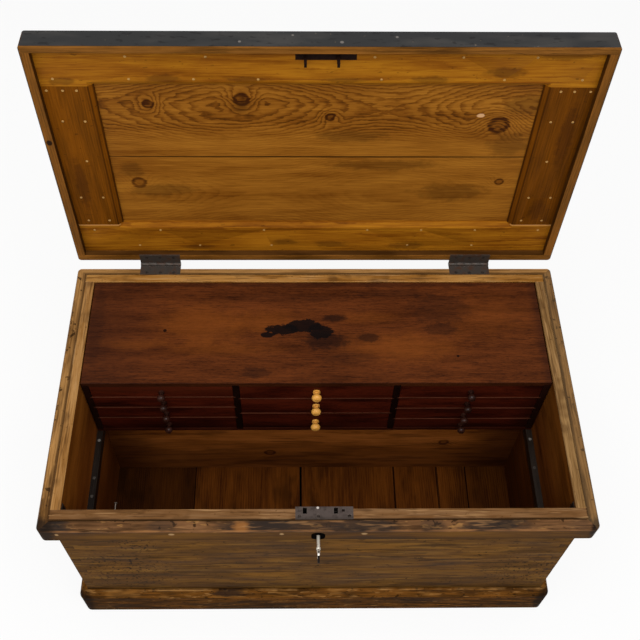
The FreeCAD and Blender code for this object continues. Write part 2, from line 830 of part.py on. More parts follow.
def lid_rail_board(y_low, y_high):
    """A rail across the lid, mortised for the stiles."""
    board = block(-frame_half_width, frame_half_width, y_low, y_high, frame_underside, lid_top)
    board = board.cut(stile_tenons(-1) + stile_tenons(1) + [lid_bevel_cutter(), lid_panel_seat()])
    board = board.cut(lid_nails())
    if y_low < 0:
        board = board.cut(link_plate_block())
    return one_solid(board)


def lid_stiles():
    stiles = []
    for side in (-1, 1):
        outer = side * frame_half_width
        inner = side * panel_half_width
        board = block(min(outer, inner), max(outer, inner), panel_front, panel_back, frame_underside, lid_top)
        board = board.fuse(stile_tenons(side)).cut([lid_bevel_cutter(), lid_panel_seat()])
        stiles.append(one_solid(board.cut(lid_nails())))
    return stiles


def lid_panel_boards():
    """Two wide boards, jointed along the middle of the lid."""
    seat = lid_panel_seat().BoundBox
    seam = (seat.YMin + seat.YMax) / 2
    return [block(seat.XMin, seat.XMax, y_low, y_high, seat.ZMin, seat.ZMax)
            for y_low, y_high in ((seat.YMin, seam), (seam, seat.YMax))]


def lid_nail(x, y):
    """A small nail whose head stands just proud of the frame's underside."""
    head = rod(nail_head_radius, nail_head, at(x, y, frame_underside - nail_head), Z_AXIS)
    shank = rod(nail_shank_radius, nail_length, at(x, y, frame_underside - nail_head), Z_AXIS)
    return one_solid(head.fuse(shank))


def lid_nails():
    """Nails in two rows along each rail, and scattered over the stiles."""
    places = []
    for edge, inward in ((frame_front, 1), (frame_back, -1)):
        rows = (front_rail_outer_nail_shares, front_rail_inner_nail_shares)
        for row_share, shares in zip(rail_nail_row_shares, rows):
            y = edge + inward * row_share * (lid_rail - lid_bevel)
            places += [(inward * share * frame_half_width, y) for share in shares]
    for side in (-1, 1):
        for across_share, along_share in stile_nail_shares:
            x = side * (frame_half_width - across_share * (lid_stile - lid_bevel))
            y_first = panel_front + nail_head_radius
            y_last = panel_back - nail_head_radius
            places.append((x, y_first + along_share * (y_last - y_first)))
    return [lid_nail(x, y) for x, y in places]


def link_plate_block():
    """The body of the link plate, let flush into the front rail."""
    half = link_plate_width / 2
    return block(lock_left, lock_right, lock_slot_y - half, lock_slot_y + half,
                 frame_underside, frame_underside + link_plate)


def staple(x):
    """A flat staple with a square eye, which drops through a slot of the lock's plate."""
    tip = frame_underside - staple_reach
    body = block(x - staple_thickness / 2, x + staple_thickness / 2, lock_slot_y - staple_width / 2,
                 lock_slot_y + staple_width / 2, tip, frame_underside)
    eye_low = tip + staple_eye_rise
    eye = block(x - staple_thickness, x + staple_thickness, lock_slot_y - staple_eye_width / 2,
                lock_slot_y + staple_eye_width / 2, eye_low, eye_low + staple_eye_height)
    return body.cut(eye).Solids[0]


def link_plate_pieces():
    return [link_plate_block()] + [staple(x) for x in staple_places]


def till_end_x(side):
    """Inner face of one end board of the nest."""
    return side * (till_half_width - till_end)


def divider_span(side):
    """Left and right faces of one divider."""
    near = side * centre_column_width / 2
    far = near + side * till_divider
    return min(near, far), max(near, far)


def till_ends():
    """End boards, tongued into the top and bottom boards."""
    boards = []
    for side in (-1, 1):
        outer = side * till_half_width
        inner = till_end_x(side)
        board = block(min(outer, inner), max(outer, inner), till_face, till_back,
                      drawers_floor - till_groove, drawers_ceiling + till_groove)
        boards.append(one_solid(board.cut(till_shelves() + [till_back_panel()])))
    return boards


def till_dividers():
    """Upright boards between the columns of drawers, grooved for the shelves."""
    boards = []
    for side in (-1, 1):
        left, right = divider_span(side)
        board = block(left, right, till_face, till_back - till_back_board,
                      drawers_floor - till_groove, drawers_ceiling + till_groove)
        boards.append(one_solid(board.cut(till_shelves())))
    return boards


def upright_grooves():
    """The space that the end boards and dividers take in the top and bottom boards."""
    spaces = []
    for side in (-1, 1):
        outer = side * till_half_width
        inner = till_end_x(side)
        spaces.append(block(min(outer, inner), max(outer, inner), till_face, till_back,
                            drawers_floor - till_groove, drawers_ceiling + till_groove))
        left, right = divider_span(side)
        spaces.append(block(left, right, till_face, till_back - till_back_board,
                            drawers_floor - till_groove, drawers_ceiling + till_groove))
    return spaces


def till_top_panel():
    board = block(-till_half_width, till_half_width, till_face, till_back, drawers_ceiling, till_top)
    return one_solid(board.cut(upright_grooves()))


def till_bottom_panel():
    board = block(-till_half_width, till_half_width, till_face, till_back, till_floor, drawers_floor)
    return one_solid(board.cut(upright_grooves()))


def till_back_panel():
    """The back of the nest, let into the end boards."""
    reach = till_half_width - till_end + till_groove
    return block(-reach, reach, till_back - till_back_board, till_back, drawers_floor, drawers_ceiling)


def columns():
    """Each column's name, left and right faces, its drawers' shares of the height and its knobs' places."""
    left_divider = divider_span(-1)
    right_divider = divider_span(1)
    return [("left", till_end_x(-1), left_divider[0], left_drawer_shares, left_knob_shares),
            ("centre", left_divider[1], right_divider[0], centre_drawer_shares, centre_knob_shares),
            ("right", right_divider[1], till_end_x(1), right_drawer_shares, right_knob_shares)]


def shelf_heights(shares):
    """Underside and top of each shelf in a column, from the top one down."""
    column_height = drawers_ceiling - drawers_floor
    level = drawers_ceiling
    heights = []
    for share in shares[:-1]:
        level -= share * column_height
        heights.append((level - till_shelf / 2, level + till_shelf / 2))
    return heights


def till_shelves():
    """Thin shelves between the drawers, let into the boards on both sides."""
    shelves = []
    for name, left, right, shares, knob_shares in columns():
        for low, high in shelf_heights(shares):
            shelves.append(block(left - shelf_groove, right + shelf_groove, till_face,
                                 till_back - till_back_board, low, high))
    return shelves


def drawer_places():
    """Name, left, right, underside, top, knob radius and knob height of every drawer."""
    places = []
    for name, left, right, shares, knob_shares in columns():
        knob_radius = pale_knob_radius if name == "centre" else dark_knob_radius
        shelves = shelf_heights(shares)
        ceilings = [drawers_ceiling] + [low for low, high in shelves]
        floors = [high for low, high in shelves] + [drawers_floor]
        for number, (ceiling, floor, knob_share) in enumerate(zip(ceilings, floors, knob_shares), 1):
            places.append((name + "_" + str(number), left + drawer_side_gap, right - drawer_side_gap,
                           floor + drawer_float, ceiling - drawer_head_gap, knob_radius,
                           floor + knob_share * (ceiling - floor)))
    return places


drawer_face = till_face + drawer_setback
drawer_end = till_back - till_back_board - drawer_back_gap


def drawer_box(left, right, low, high, spigot):
    """Front, two sides, back and bottom; the bottom runs in grooves of the others."""
    inside_front = drawer_face + drawer_front
    inside_back = drawer_end - drawer_side
    bottom_low = low + drawer_bottom_rise
    bottom_board = block(left + drawer_side - drawer_groove, right - drawer_side + drawer_groove,
                         inside_front - drawer_groove, inside_back + drawer_groove,
                         bottom_low, bottom_low + drawer_bottom)
    front = block(left, right, drawer_face, inside_front, low, high).cut([bottom_board, spigot])
    back = block(left + drawer_side, right - drawer_side, inside_back, drawer_end, low, high)
    back = back.cut(bottom_board)
    near_side = block(left, left + drawer_side, inside_front, drawer_end, low, high).cut(bottom_board)
    far_side = block(right - drawer_side, right, inside_front, drawer_end, low, high).cut(bottom_board)
    return [one_solid(piece) for piece in (front, near_side, far_side, back)] + [bottom_board]


def drawer_knob(x, z, radius):
    """A turned knob: spigot, flange, neck and a slightly flattened ball."""
    front = drawer_face
    flange = radius * knob_flange_share
    neck = radius * knob_neck_share
    ball_back = front - knob_flange_thickness - (knob_projection - knob_flange_thickness) / 4
    ball_middle = (ball_back + front - knob_projection) / 2
    points = [at(0, front + knob_spigot_length, 0), at(knob_spigot_radius, front + knob_spigot_length, 0),
              at(knob_spigot_radius, front, 0), at(flange, front, 0),
              at(flange, front - knob_flange_thickness, 0), at(neck, front - knob_flange_thickness, 0),
              at(neck, ball_back, 0)]
    edges = [Part.makeLine(start, end) for start, end in zip(points, points[1:])]
    nose = at(0, front - knob_projection, 0)
    bulge = at(radius, ball_middle, 0)
    edges.append(Part.Arc(points[-1], bulge, at(neck, front - knob_projection, 0)).toShape())
    edges.append(Part.makeLine(at(neck, front - knob_projection, 0), nose))
    edges.append(Part.makeLine(nose, points[0]))
    profile = Part.Face(Part.Wire(edges))
    knob = profile.revolve(at(0, 0, 0), Y_AXIS, 360)
    knob.translate(at(x, 0, z))
    return one_solid(knob)


def knob_spigot(x, z):
    return rod(knob_spigot_radius, knob_spigot_length, at(x, drawer_face, z), Y_AXIS)


def handle_plate_outline(side):
    """The iron plate of a drop handle, flat on the end of the chest."""
    face = side * carcass_width / 2
    outside = face + side * handle_plate
    plain = block(min(face, outside), max(face, outside), -handle_plate_length / 2, handle_plate_length / 2,
                  handle_height - handle_plate_height / 2, handle_height + handle_plate_height / 2)
    corners = [edge for edge in plain.Edges
               if abs(edge.BoundBox.XMax - edge.BoundBox.XMin - handle_plate) < running_gap]
    return plain.makeFillet(handle_plate_radius, corners)


def handle_axis_x(side):
    return side * (carcass_width / 2 + handle_axis_standoff)


def handle_screw_places(side):
    """Four screws at the corners of a handle's plate."""
    outside = side * (carcass_width / 2 + handle_plate)
    reach_y = handle_plate_length / 2 - handle_screw_inset
    reach_z = handle_plate_height / 2 - handle_screw_inset
    return [(at(outside, y, handle_height + z), X_AXIS * -side)
            for y in (-reach_y, reach_y) for z in (-reach_z, reach_z)]


def handle_mounting(side):
    """A handle's plate with two pierced lugs."""
    axis = handle_axis_x(side)
    face = side * (carcass_width / 2 + handle_plate)
    plate = handle_plate_outline(side)
    for lug_middle in (-handle_lug_offset, handle_lug_offset):
        start = lug_middle - handle_lug_width / 2
        eye = rod(handle_lug_radius, handle_lug_width, at(axis, start, handle_height), Y_AXIS)
        neck = block(min(face, axis), max(face, axis), start, start + handle_lug_width,
                     handle_height - handle_lug_radius, handle_height + handle_lug_radius)
        plate = plate.fuse([eye, neck])
    bore = rod(handle_pin_radius + running_gap, handle_plate_length,
               at(axis, -handle_plate_length / 2, handle_height), Y_AXIS)
    return one_solid(plate.cut([bore] + screw_seats(handle_screw_places(side))))


def handle_bail(side):
    """The iron bail, hanging down, with a pin at each end turned in through its lug."""
    x = handle_axis_x(side)
    low = handle_height - handle_drop
    bend = handle_corner_radius
    mid = bend * (1 - math.sqrt(1 / 2))
    leg = handle_leg_offset
    top_left = at(x, -leg, handle_height)
    bend_left = at(x, -leg, low + bend)
    foot_left = at(x, -leg + bend, low)
    foot_right = at(x, leg - bend, low)
    bend_right = at(x, leg, low + bend)
    top_right = at(x, leg, handle_height)
    path = Part.Wire([Part.makeLine(top_left, bend_left),
                      Part.Arc(bend_left, at(x, -leg + mid, low + mid), foot_left).toShape(),
                      Part.makeLine(foot_left, foot_right),
                      Part.Arc(foot_right, at(x, leg - mid, low + mid), bend_right).toShape(),
                      Part.makeLine(bend_right, top_right)])
    section = Part.Wire(Part.makeCircle(handle_bar_radius, top_left, Z_AXIS))
    bar = path.makePipeShell([section], True, False)
    reach = handle_leg_offset - handle_lug_offset + handle_lug_width / 2 + handle_pin_tail
    for direction in (-1, 1):
        joint = at(x, direction * leg, handle_height)
        ball = Part.makeSphere(handle_bar_radius, joint)
        pin = rod(handle_pin_radius, reach, joint, -direction * Y_AXIS)
        bar = bar.fuse([ball, pin])
    return one_solid(bar)


def side_walls_with_screws(side):
    return one_solid(side_wall(side).cut(screw_seats(handle_screw_places(side))))


def chest_screws():
    """Screws of the hinges, the lock's plate and the handles, all on the chest itself."""
    return slotted_screws(chest_hinge_screw_places() + lock_plate_screw_places()
                          + handle_screw_places(-1) + handle_screw_places(1))


def build_nodes():
    """Every node's solids, by name."""
    nodes = {
        "front_wall": [front_wall()],
        "back_wall": [one_solid(long_wall(inner_depth / 2))],
        "left_wall": [side_walls_with_screws(-1)],
        "right_wall": [side_walls_with_screws(1)],
        "floor_boards": floor_boards(),
        "rim_moulding": rim_moulding(),
        "plinth": plinth_strips(),
        "well_partition": [well_partition()],
        "till_runners": till_runners(),
        "runner_nails": runner_nails(),
        "corner_irons": corner_irons(),
        "hanging_nail": [hanging_nail()],
        "lock_case": [lock_case()],
        "lock_plate": [lock_top_plate()],
        "lock_bolt": [lock_bolt()],
        "key": [key()],
        "keyhole_escutcheon": [keyhole_escutcheon()],
        "chest_hinge_leaves": chest_hinge_leaves(),
        "hinge_pins": hinge_pins(),
        "chest_screws": chest_screws(),
        "handle_plates": [handle_mounting(-1), handle_mounting(1)],
        "left_handle": [handle_bail(-1)],
        "right_handle": [handle_bail(1)],
        "till_top": [till_top_panel()],
        "till_bottom": [till_bottom_panel()],
        "till_ends": till_ends(),
        "till_dividers": till_dividers(),
        "till_back": [till_back_panel()],
        "till_shelves": till_shelves(),
    }
    lid_nodes = {
        "lid_front_rail": [lid_rail_board(frame_front, panel_front)],
        "lid_back_rail": [lid_rail_board(panel_back, frame_back)],
        "lid_stiles": lid_stiles(),
        "lid_panel": lid_panel_boards(),
        "lid_skirt": lid_skirt(),
        "lid_nails": lid_nails(),
        "link_plate": link_plate_pieces(),
        "lid_hinge_leaves": lid_hinge_leaves(),
        "lid_hinge_screws": slotted_screws(lid_hinge_screw_places()),
    }
    for name, pieces in lid_nodes.items():
        nodes[name] = [opened(piece) for piece in pieces]
    for name, left, right, low, high, radius, z in drawer_places():
        x = (left + right) / 2
        nodes["drawer_" + name] = drawer_box(left, right, low, high, knob_spigot(x, z))
        nodes["knob_" + name] = [drawer_knob(x, z, radius)]
    return nodes


def export_nodes(nodes):
    os.makedirs("parts", exist_ok=True)
    for name, pieces in nodes.items():
        shape = pieces[0] if len(pieces) == 1 else Part.makeCompound(pieces)
        shape.exportStep("parts/" + name + ".step")
        print(name, len(pieces), round(sum(piece.Volume for piece in pieces)))


export_nodes(build_nodes())
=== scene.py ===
from math import radians, tau

import bpy
from mathutils import Matrix, Vector

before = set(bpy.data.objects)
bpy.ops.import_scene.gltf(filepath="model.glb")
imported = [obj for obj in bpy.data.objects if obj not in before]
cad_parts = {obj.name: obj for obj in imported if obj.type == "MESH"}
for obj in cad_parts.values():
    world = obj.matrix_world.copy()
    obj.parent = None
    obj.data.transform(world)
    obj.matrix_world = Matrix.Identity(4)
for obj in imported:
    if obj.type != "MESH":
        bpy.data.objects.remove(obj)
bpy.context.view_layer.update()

bpy.ops.object.select_all(action="DESELECT")

# The view
# The chest is seen from in front and from well above, a little left of its middle, from about two
# metres away. The camera's turn is given by what lies to its right, above it and behind it.

bpy.ops.object.camera_add()
camera = bpy.context.object
right = Vector((0.99991359, -0.0078421, 0.01055074))
up = Vector((0.000233, 0.81305148, 0.58219176))
back = Vector((-0.0131439, -0.58213898, 0.81298305))
camera.matrix_world = Matrix((right, up, back)).transposed().to_4x4()
camera.location = (-0.0416, -0.8213, 2.0101)
camera.data.sensor_width = 36
camera.data.lens = 52.77
camera.data.shift_x = 0.0209
camera.data.shift_y = -0.0849
bpy.context.scene.camera = camera
bpy.context.scene.view_settings.view_transform = "Standard"

# The floor and the light
# A plain white floor runs out to a white surround. One wide soft lamp hangs above and in front of the
# chest, a second fills from the left, and the surround gives the rest.


def colour(code):
    """The linear values of a colour written as it looks."""
    shares = [int(code[i:i + 2], 16) / 255 for i in (1, 3, 5)]
    return [s / 12.92 if s <= 0.04045 else ((s + 0.055) / 1.055) ** 2.4 for s in shares] + [1.0]


def add(tree, kind, inputs=(), stops=(), **settings):
    """Adds a node with its settings, its links or plain values, and the stops of its colour ramp."""
    node = tree.nodes.new("ShaderNode" + kind)
    for setting, value in settings.items():
        setattr(node, setting, value)
    for key, value in inputs.items() if isinstance(inputs, dict) else enumerate(inputs):
        if isinstance(value, bpy.types.Node):
            value = next(socket for socket in value.outputs if socket.enabled)
        if isinstance(value, bpy.types.NodeSocket):
            tree.links.new(value, node.inputs[key])
        else:
            node.inputs[key].default_value = colour(value) if isinstance(value, str) else value
    if stops:
        ramp = node.color_ramp.elements
        ramp.remove(ramp[1])
        ramp[0].position, ramp[0].color = stops[0][0], colour(stops[0][1])
        for position, code in stops[1:]:
            ramp.new(position).color = colour(code)
    return node


bpy.ops.mesh.primitive_plane_add(size=14, location=(0, 0, 0))
floor = bpy.context.object
floor.name = "studio_floor"
white_floor = bpy.data.materials.new("matt white floor")
white_floor.use_nodes = True
tree = white_floor.node_tree
tree.nodes.clear()
matt = add(tree, "BsdfDiffuse", {"Color": "#F4F3F1"})
bright = add(tree, "Emission", {"Color": "#FFFFFF", "Strength": 1.0})
rays = add(tree, "LightPath")
# To the eye and in reflections the floor glows for the most part, so it is white round its soft shadows.
glow = 0.88
seen = add(tree, "Math", (rays.outputs["Is Camera Ray"], rays.outputs["Is Glossy Ray"]), operation="MAXIMUM")
share = add(tree, "Math", (seen, glow), operation="MULTIPLY")
add(tree, "OutputMaterial", {"Surface": add(tree, "MixShader", (share, matt, bright))})
floor.data.materials.append(white_floor)

surround = bpy.data.worlds.new("white surround")
bpy.context.scene.world = surround
surround.use_nodes = True
tree = surround.node_tree
tree.nodes.clear()
soft = add(tree, "Background", {"Color": "#FFFFFF", "Strength": 0.42})
plain = add(tree, "Background", {"Color": "#FFFFFF", "Strength": 1.0})
seen = add(tree, "LightPath").outputs["Is Camera Ray"]
add(tree, "OutputWorld", {"Surface": add(tree, "MixShader", (seen, soft, plain))})


def soft_lamp(name, place, aim, size, watts):
    """A square lamp at a place, turned to face a point."""
    bpy.ops.object.light_add(type="AREA", location=place)
    lamp = bpy.context.object
    lamp.name = name
    lamp.data.shape = "SQUARE"
    lamp.data.size = size
    lamp.data.energy = watts
    lamp.rotation_euler = (Vector(aim) - Vector(place)).to_track_quat("-Z", "Y").to_euler()


soft_lamp("overhead_lamp", (0.1, -0.9, 3.2), (0, 0.1, 0.4), 2.6, 78)
soft_lamp("left_lamp", (-2.6, -1.6, 1.9), (0, 0, 0.4), 2.0, 14)

# The walls
# Four wide pine boards, dovetailed at the corners, planed and waxed. Outside they have gone brown and
# are dented all over. The tops are rubbed paler, and the insides are red, golden near the top, partly
# with painted light, and darkened near the floor by painted shade.

# Places on the chest are in millimetres from its middle and from the ground.
MM = 0.001
wall_half_width = 454
wall_half_depth = 251
inner_half_width = 436
wall_top = 483
rim_top = 477.5
plinth_top = 104


def blank(name, roughness, gloss, move=(0, 0, 0), turn=(0, 0, 0)):
    """A material whose node called place gives the place on the piece, before any joint turns it."""
    material = bpy.data.materials.new(name)
    material.use_nodes = True
    tree = material.node_tree
    shader = tree.nodes["Principled BSDF"]
    shader.inputs["Roughness"].default_value = roughness
    shader.inputs["Specular IOR Level"].default_value = gloss
    source = add(tree, "TexCoord").outputs["Object"]
    add(tree, "Mapping", {"Vector": source, "Location": move, "Rotation": turn}).name = "place"
    return material


def wood(name, early, late, dark, along, pith, ring=6, waver=10, sway=None, knots=(), seams=(), bold=(),
         jagged=0.6, lines=0.5, streaks=1.0, fibres=1.0, flecks=0.0, seed=0.0, roughness=0.5, gloss=0.05,
         move=(0, 0, 0), turn=(0, 0, 0)):
    """Wood cut from a log whose growth rings run round the pith, with the grain along one direction.

    The rings, their waver, the knots and the places of the seams are in millimetres, the pith in metres.
    """
    material = blank(name, roughness, gloss, move, turn)
    tree = material.node_tree
    shader = tree.nodes["Principled BSDF"]
    place = tree.nodes["place"]
    swap = (0, 0, 0) if along == "X" else (0, 0, radians(-90))
    board = add(tree, "Mapping", {"Vector": place, "Location": (seed, 0, 0), "Rotation": swap})
    # Past each seam the next board takes its pattern from another part of the log.
    for axis, position, shift in seams:
        reach = add(tree, "VectorMath", (place, axis), operation="DOT_PRODUCT")
        beyond = add(tree, "Math", (reach, position * MM), operation="GREATER_THAN")
        shifted = add(tree, "VectorMath", {0: shift, "Scale": beyond}, operation="SCALE")
        board = add(tree, "VectorMath", (board, shifted), operation="ADD")
    # The sizes of the patches are in millimetres, along the grain and across it. Fibres and pores are
    # finer than this in life, and are drawn one or two millimetres wide so that they show.
    noise = {}
    for use, size, detail in (("drift", (360, 70, 70), 1.5), ("close", (50, 6, 6), 2.0),
                              ("fibre", (60, 2, 2), 3.0), ("tone", (170, 32, 32), 5.0),
                              ("show", (250, 50, 50), 2.0), ("pore", (9, 1.2, 1.2), 1.0),
                              ("jag", (22, 9, 9), 2.0)):
        stretched = add(tree, "Mapping", {"Vector": board, "Scale": [1 / (s * MM) for s in size]})
        noise[use] = add(tree, "TexNoise", {"Vector": stretched, "Scale": 1.0, "Detail": detail,
                                            "Roughness": 0.6})
    # The distance from the pith, made uneven, gives the growth rings.
    off = add(tree, "VectorMath", (board, (0, *pith)), operation="SUBTRACT")
    across = add(tree, "VectorMath", (off, (0, 1, 1)), operation="MULTIPLY")
    radius = add(tree, "VectorMath", (across,), operation="LENGTH")
    radius = add(tree, "Math", (noise["drift"], waver * 2 * MM, radius), operation="MULTIPLY_ADD")
    radius = add(tree, "Math", (noise["close"], ring * 0.5 * MM, radius), operation="MULTIPLY_ADD")
    radius = add(tree, "Math", (noise["jag"], ring * jagged * MM, radius), operation="MULTIPLY_ADD")
    # A sway moves the rings in and out along the board, so that they are cut in tongues.
    if sway:
        size, length, peak = sway
        turned = add(tree, "VectorMath", (board, (tau / (length * MM), 0, 0)), operation="DOT_PRODUCT")
        turned = add(tree, "Math", (turned, tau * (seed + peak * MM) / (length * MM)), operation="SUBTRACT")
        wave = add(tree, "Math", (turned,), operation="COSINE")
        radius = add(tree, "Math", (wave, size * MM, radius), operation="MULTIPLY_ADD")
    show = add(tree, "MapRange", {"Value": noise["show"], "From Min": 0.35, "From Max": 0.65, "To Min": 0.2})
    # Where the figure is bold the rings show fully, and elsewhere on that piece they are faint.
    if bold:
        show = add(tree, "Math", (show, 0.35), operation="MULTIPLY")
    for axis, start, finish in bold:
        reach = add(tree, "VectorMath", (place, axis), operation="DOT_PRODUCT")
        rising = add(tree, "MapRange", {"Value": reach, "From Min": start * MM, "From Max": finish * MM})
        show = add(tree, "Math", (show, rising), operation="MAXIMUM")
    # The rings bend round each knot, whose heart is dark with a darker line round it. How far each of
    # these reaches is a share of the knot's size.
    heart = None
    for where, size in knots:
        gap = add(tree, "VectorMath", (place, [w * MM for w in where]), operation="SUBTRACT")
        far = add(tree, "VectorMath", (gap,), operation="LENGTH")
        near = add(tree, "MapRange", {"Value": far, "From Min": size * 4.2 * MM, "From Max": 0.0},
                   interpolation_type="SMOOTHSTEP")
        radius = add(tree, "Math", (near, size * 1.9 * MM, radius), operation="MULTIPLY_ADD")
        broken = add(tree, "Math", (noise["close"], size * 0.8 * MM, far), operation="MULTIPLY_ADD")
        out = add(tree, "MapRange", {"Value": broken, "From Max": size * 2.5 * MM})
        core = add(tree, "ValToRGB", (out,), ((0.0, "#C8C8C8"), (0.40, "#B0B0B0"), (0.54, "#FFFFFF"),
                                              (0.62, "#FFFFFF"), (0.74, "#000000")))
        heart = core if heart is None else add(tree, "Math", (heart, core), operation="MAXIMUM")
    # Each ring passes slowly from pale early wood to dark late wood, and ends sharply.
    rings = add(tree, "Math", (radius, ring * MM), operation="DIVIDE")
    passed = add(tree, "Math", (rings,), operation="FRACT")
    band = add(tree, "ValToRGB", (passed,), ((0.35, "#000000"), (0.84, "#FFFFFF"), (0.92, "#E0E0E0"),
                                             (1.0, "#000000")))
    latewood = add(tree, "Math", (band, show), operation="MULTIPLY")
    pores = add(tree, "MapRange", {"Value": noise["pore"], "From Min": 0.54, "From Max": 0.66})
    # The grain runs from nought in its darkest lines to one in its palest wood, and is 0.7 between them.
    level = 0.7 - 0.45 * fibres - 0.85 * streaks
    for part, amount in ((latewood, -lines), (noise["fibre"], 0.9 * fibres), (noise["tone"], 1.7 * streaks),
                         (pores, -flecks), (heart, -0.6)):
        if part and amount:
            level = add(tree, "Math", (part, amount, level), operation="MULTIPLY_ADD")
    add(tree, "Clamp", (level,)).name = "grain"
    shades = add(tree, "ValToRGB", (tree.nodes["grain"],), ((0.0, dark), (0.45, late), (0.95, early)))
    relief = add(tree, "Math", (latewood, 0.4, noise["fibre"]), operation="MULTIPLY_ADD")
    bump = add(tree, "Bump", {"Height": relief, "Strength": 0.5, "Distance": 0.3 * MM})
    dull = add(tree, "MapRange", {"Value": noise["tone"], "From Min": 0.3, "From Max": 0.7,
                                  "To Min": roughness - 0.1, "To Max": roughness + 0.14})
    for node, socket in ((shades, "Base Color"), (bump, "Normal"), (dull, "Roughness")):
        tree.links.new(node.outputs[0], shader.inputs[socket])
    return material


def lay(material, mask, over, strength=1.0, within=None):
    """Lays a colour, or the same grain in other colours, over the material where the mask is one."""
    tree = material.node_tree
    base = tree.nodes["Principled BSDF"].inputs["Base Color"]
    mask = add(tree, "Math", (mask, strength), operation="MULTIPLY")
    if within:
        mask = add(tree, "Math", (mask, within), operation="MULTIPLY")
    if isinstance(over, tuple):
        early, late, dark = over
        over = add(tree, "ValToRGB", (tree.nodes["grain"],), ((0.0, dark), (0.45, late), (0.95, early)))
    mix = add(tree, "Mix", {0: mask, 6: base.links[0].from_socket, 7: over}, data_type="RGBA")
    tree.links.new(mix.outputs[2], base)


def past(material, axis, start, finish, ragged=0.0, patch=20):
    """A mask that rises along one direction of the piece, in millimetres, with an uneven edge.

    Against an axis both places take the other sign, and the mask is one below them.
    """
    tree = material.node_tree
    reach = add(tree, "VectorMath", (tree.nodes["place"], axis), operation="DOT_PRODUCT")
    if ragged:
        rough = add(tree, "TexNoise", {"Vector": tree.nodes["place"], "Scale": 1 / (patch * MM),
                                       "Detail": 3.0})
        reach = add(tree, "Math", (rough, ragged * MM, reach), operation="MULTIPLY_ADD")
    return add(tree, "MapRange", {"Value": reach, "From Min": (start + ragged / 2) * MM,
                                  "From Max": (finish + ragged / 2) * MM}, interpolation_type="SMOOTHSTEP")


def spot(material, centre, size, ragged=0.6, patch=20, soft=0.35, stretch=1.6):
    """A mask of one mark, with its middle and half sizes in millimetres and a broken edge."""
    tree = material.node_tree
    gap = add(tree, "VectorMath", (tree.nodes["place"], [c * MM for c in centre]), operation="SUBTRACT")
    shares = add(tree, "VectorMath", (gap, [1 / (s * MM) for s in size]), operation="MULTIPLY")
    far = add(tree, "VectorMath", (shares,), operation="LENGTH")
    scale = [1 / (patch * stretch * MM), 1 / (patch * MM), 1 / (patch * MM)]
    stretched = add(tree, "Mapping", {"Vector": tree.nodes["place"], "Scale": scale})
    rough = add(tree, "TexNoise", {"Vector": stretched, "Scale": 1.0, "Detail": 4.0, "Roughness": 0.65})
    far = add(tree, "Math", (rough, ragged * 2, far), operation="MULTIPLY_ADD")
    return add(tree, "MapRange", {"Value": far, "From Min": 1 + soft + ragged, "From Max": 1 - soft + ragged},
               interpolation_type="SMOOTHSTEP")


def scattered(material, cell, share, seed=0.0, soft=0.07):
    """A mask of small marks strewn over the piece, with the size of each in millimetres."""
    tree = material.node_tree
    moved = add(tree, "Mapping", {"Vector": tree.nodes["place"], "Location": (seed * 7, seed * 11, seed * 13),
                                  "Scale": [1 / (c * MM) for c in cell]})
    strewn = add(tree, "TexNoise", {"Vector": moved, "Scale": 1.0, "Detail": 2.0, "Roughness": 0.6})
    return add(tree, "MapRange", {"Value": strewn, "From Min": share, "From Max": share + soft},
               interpolation_type="SMOOTHSTEP")


def eased(node_name, *materials, width, steps=2, least_angle=35, choose=None):
    """Puts materials on a node and rounds its edges, with the last material along them.

    The width of the rounding is in millimetres, and edges that turn by fewer degrees are left.
    """
    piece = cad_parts[node_name]
    piece.data.materials.clear()
    for material in materials:
        piece.data.materials.append(material)
    for face in piece.data.polygons:
        face.material_index = choose(face.center) if choose else 0
    piece.modifiers.new("joined faces", "WELD").merge_threshold = 0.02 * MM
    flat = piece.modifiers.new("whole faces", "DECIMATE")
    flat.decimate_type = "DISSOLVE"
    flat.angle_limit = radians(1)
    flat.delimit = {"MATERIAL"}
    if width:
        arris = piece.modifiers.new("worn arris", "BEVEL")
        arris.width = width * MM
        arris.segments = steps
        arris.limit_method = "ANGLE"
        arris.angle_limit = radians(least_angle)
        arris.material = len(materials) - 1
        arris.harden_normals = True


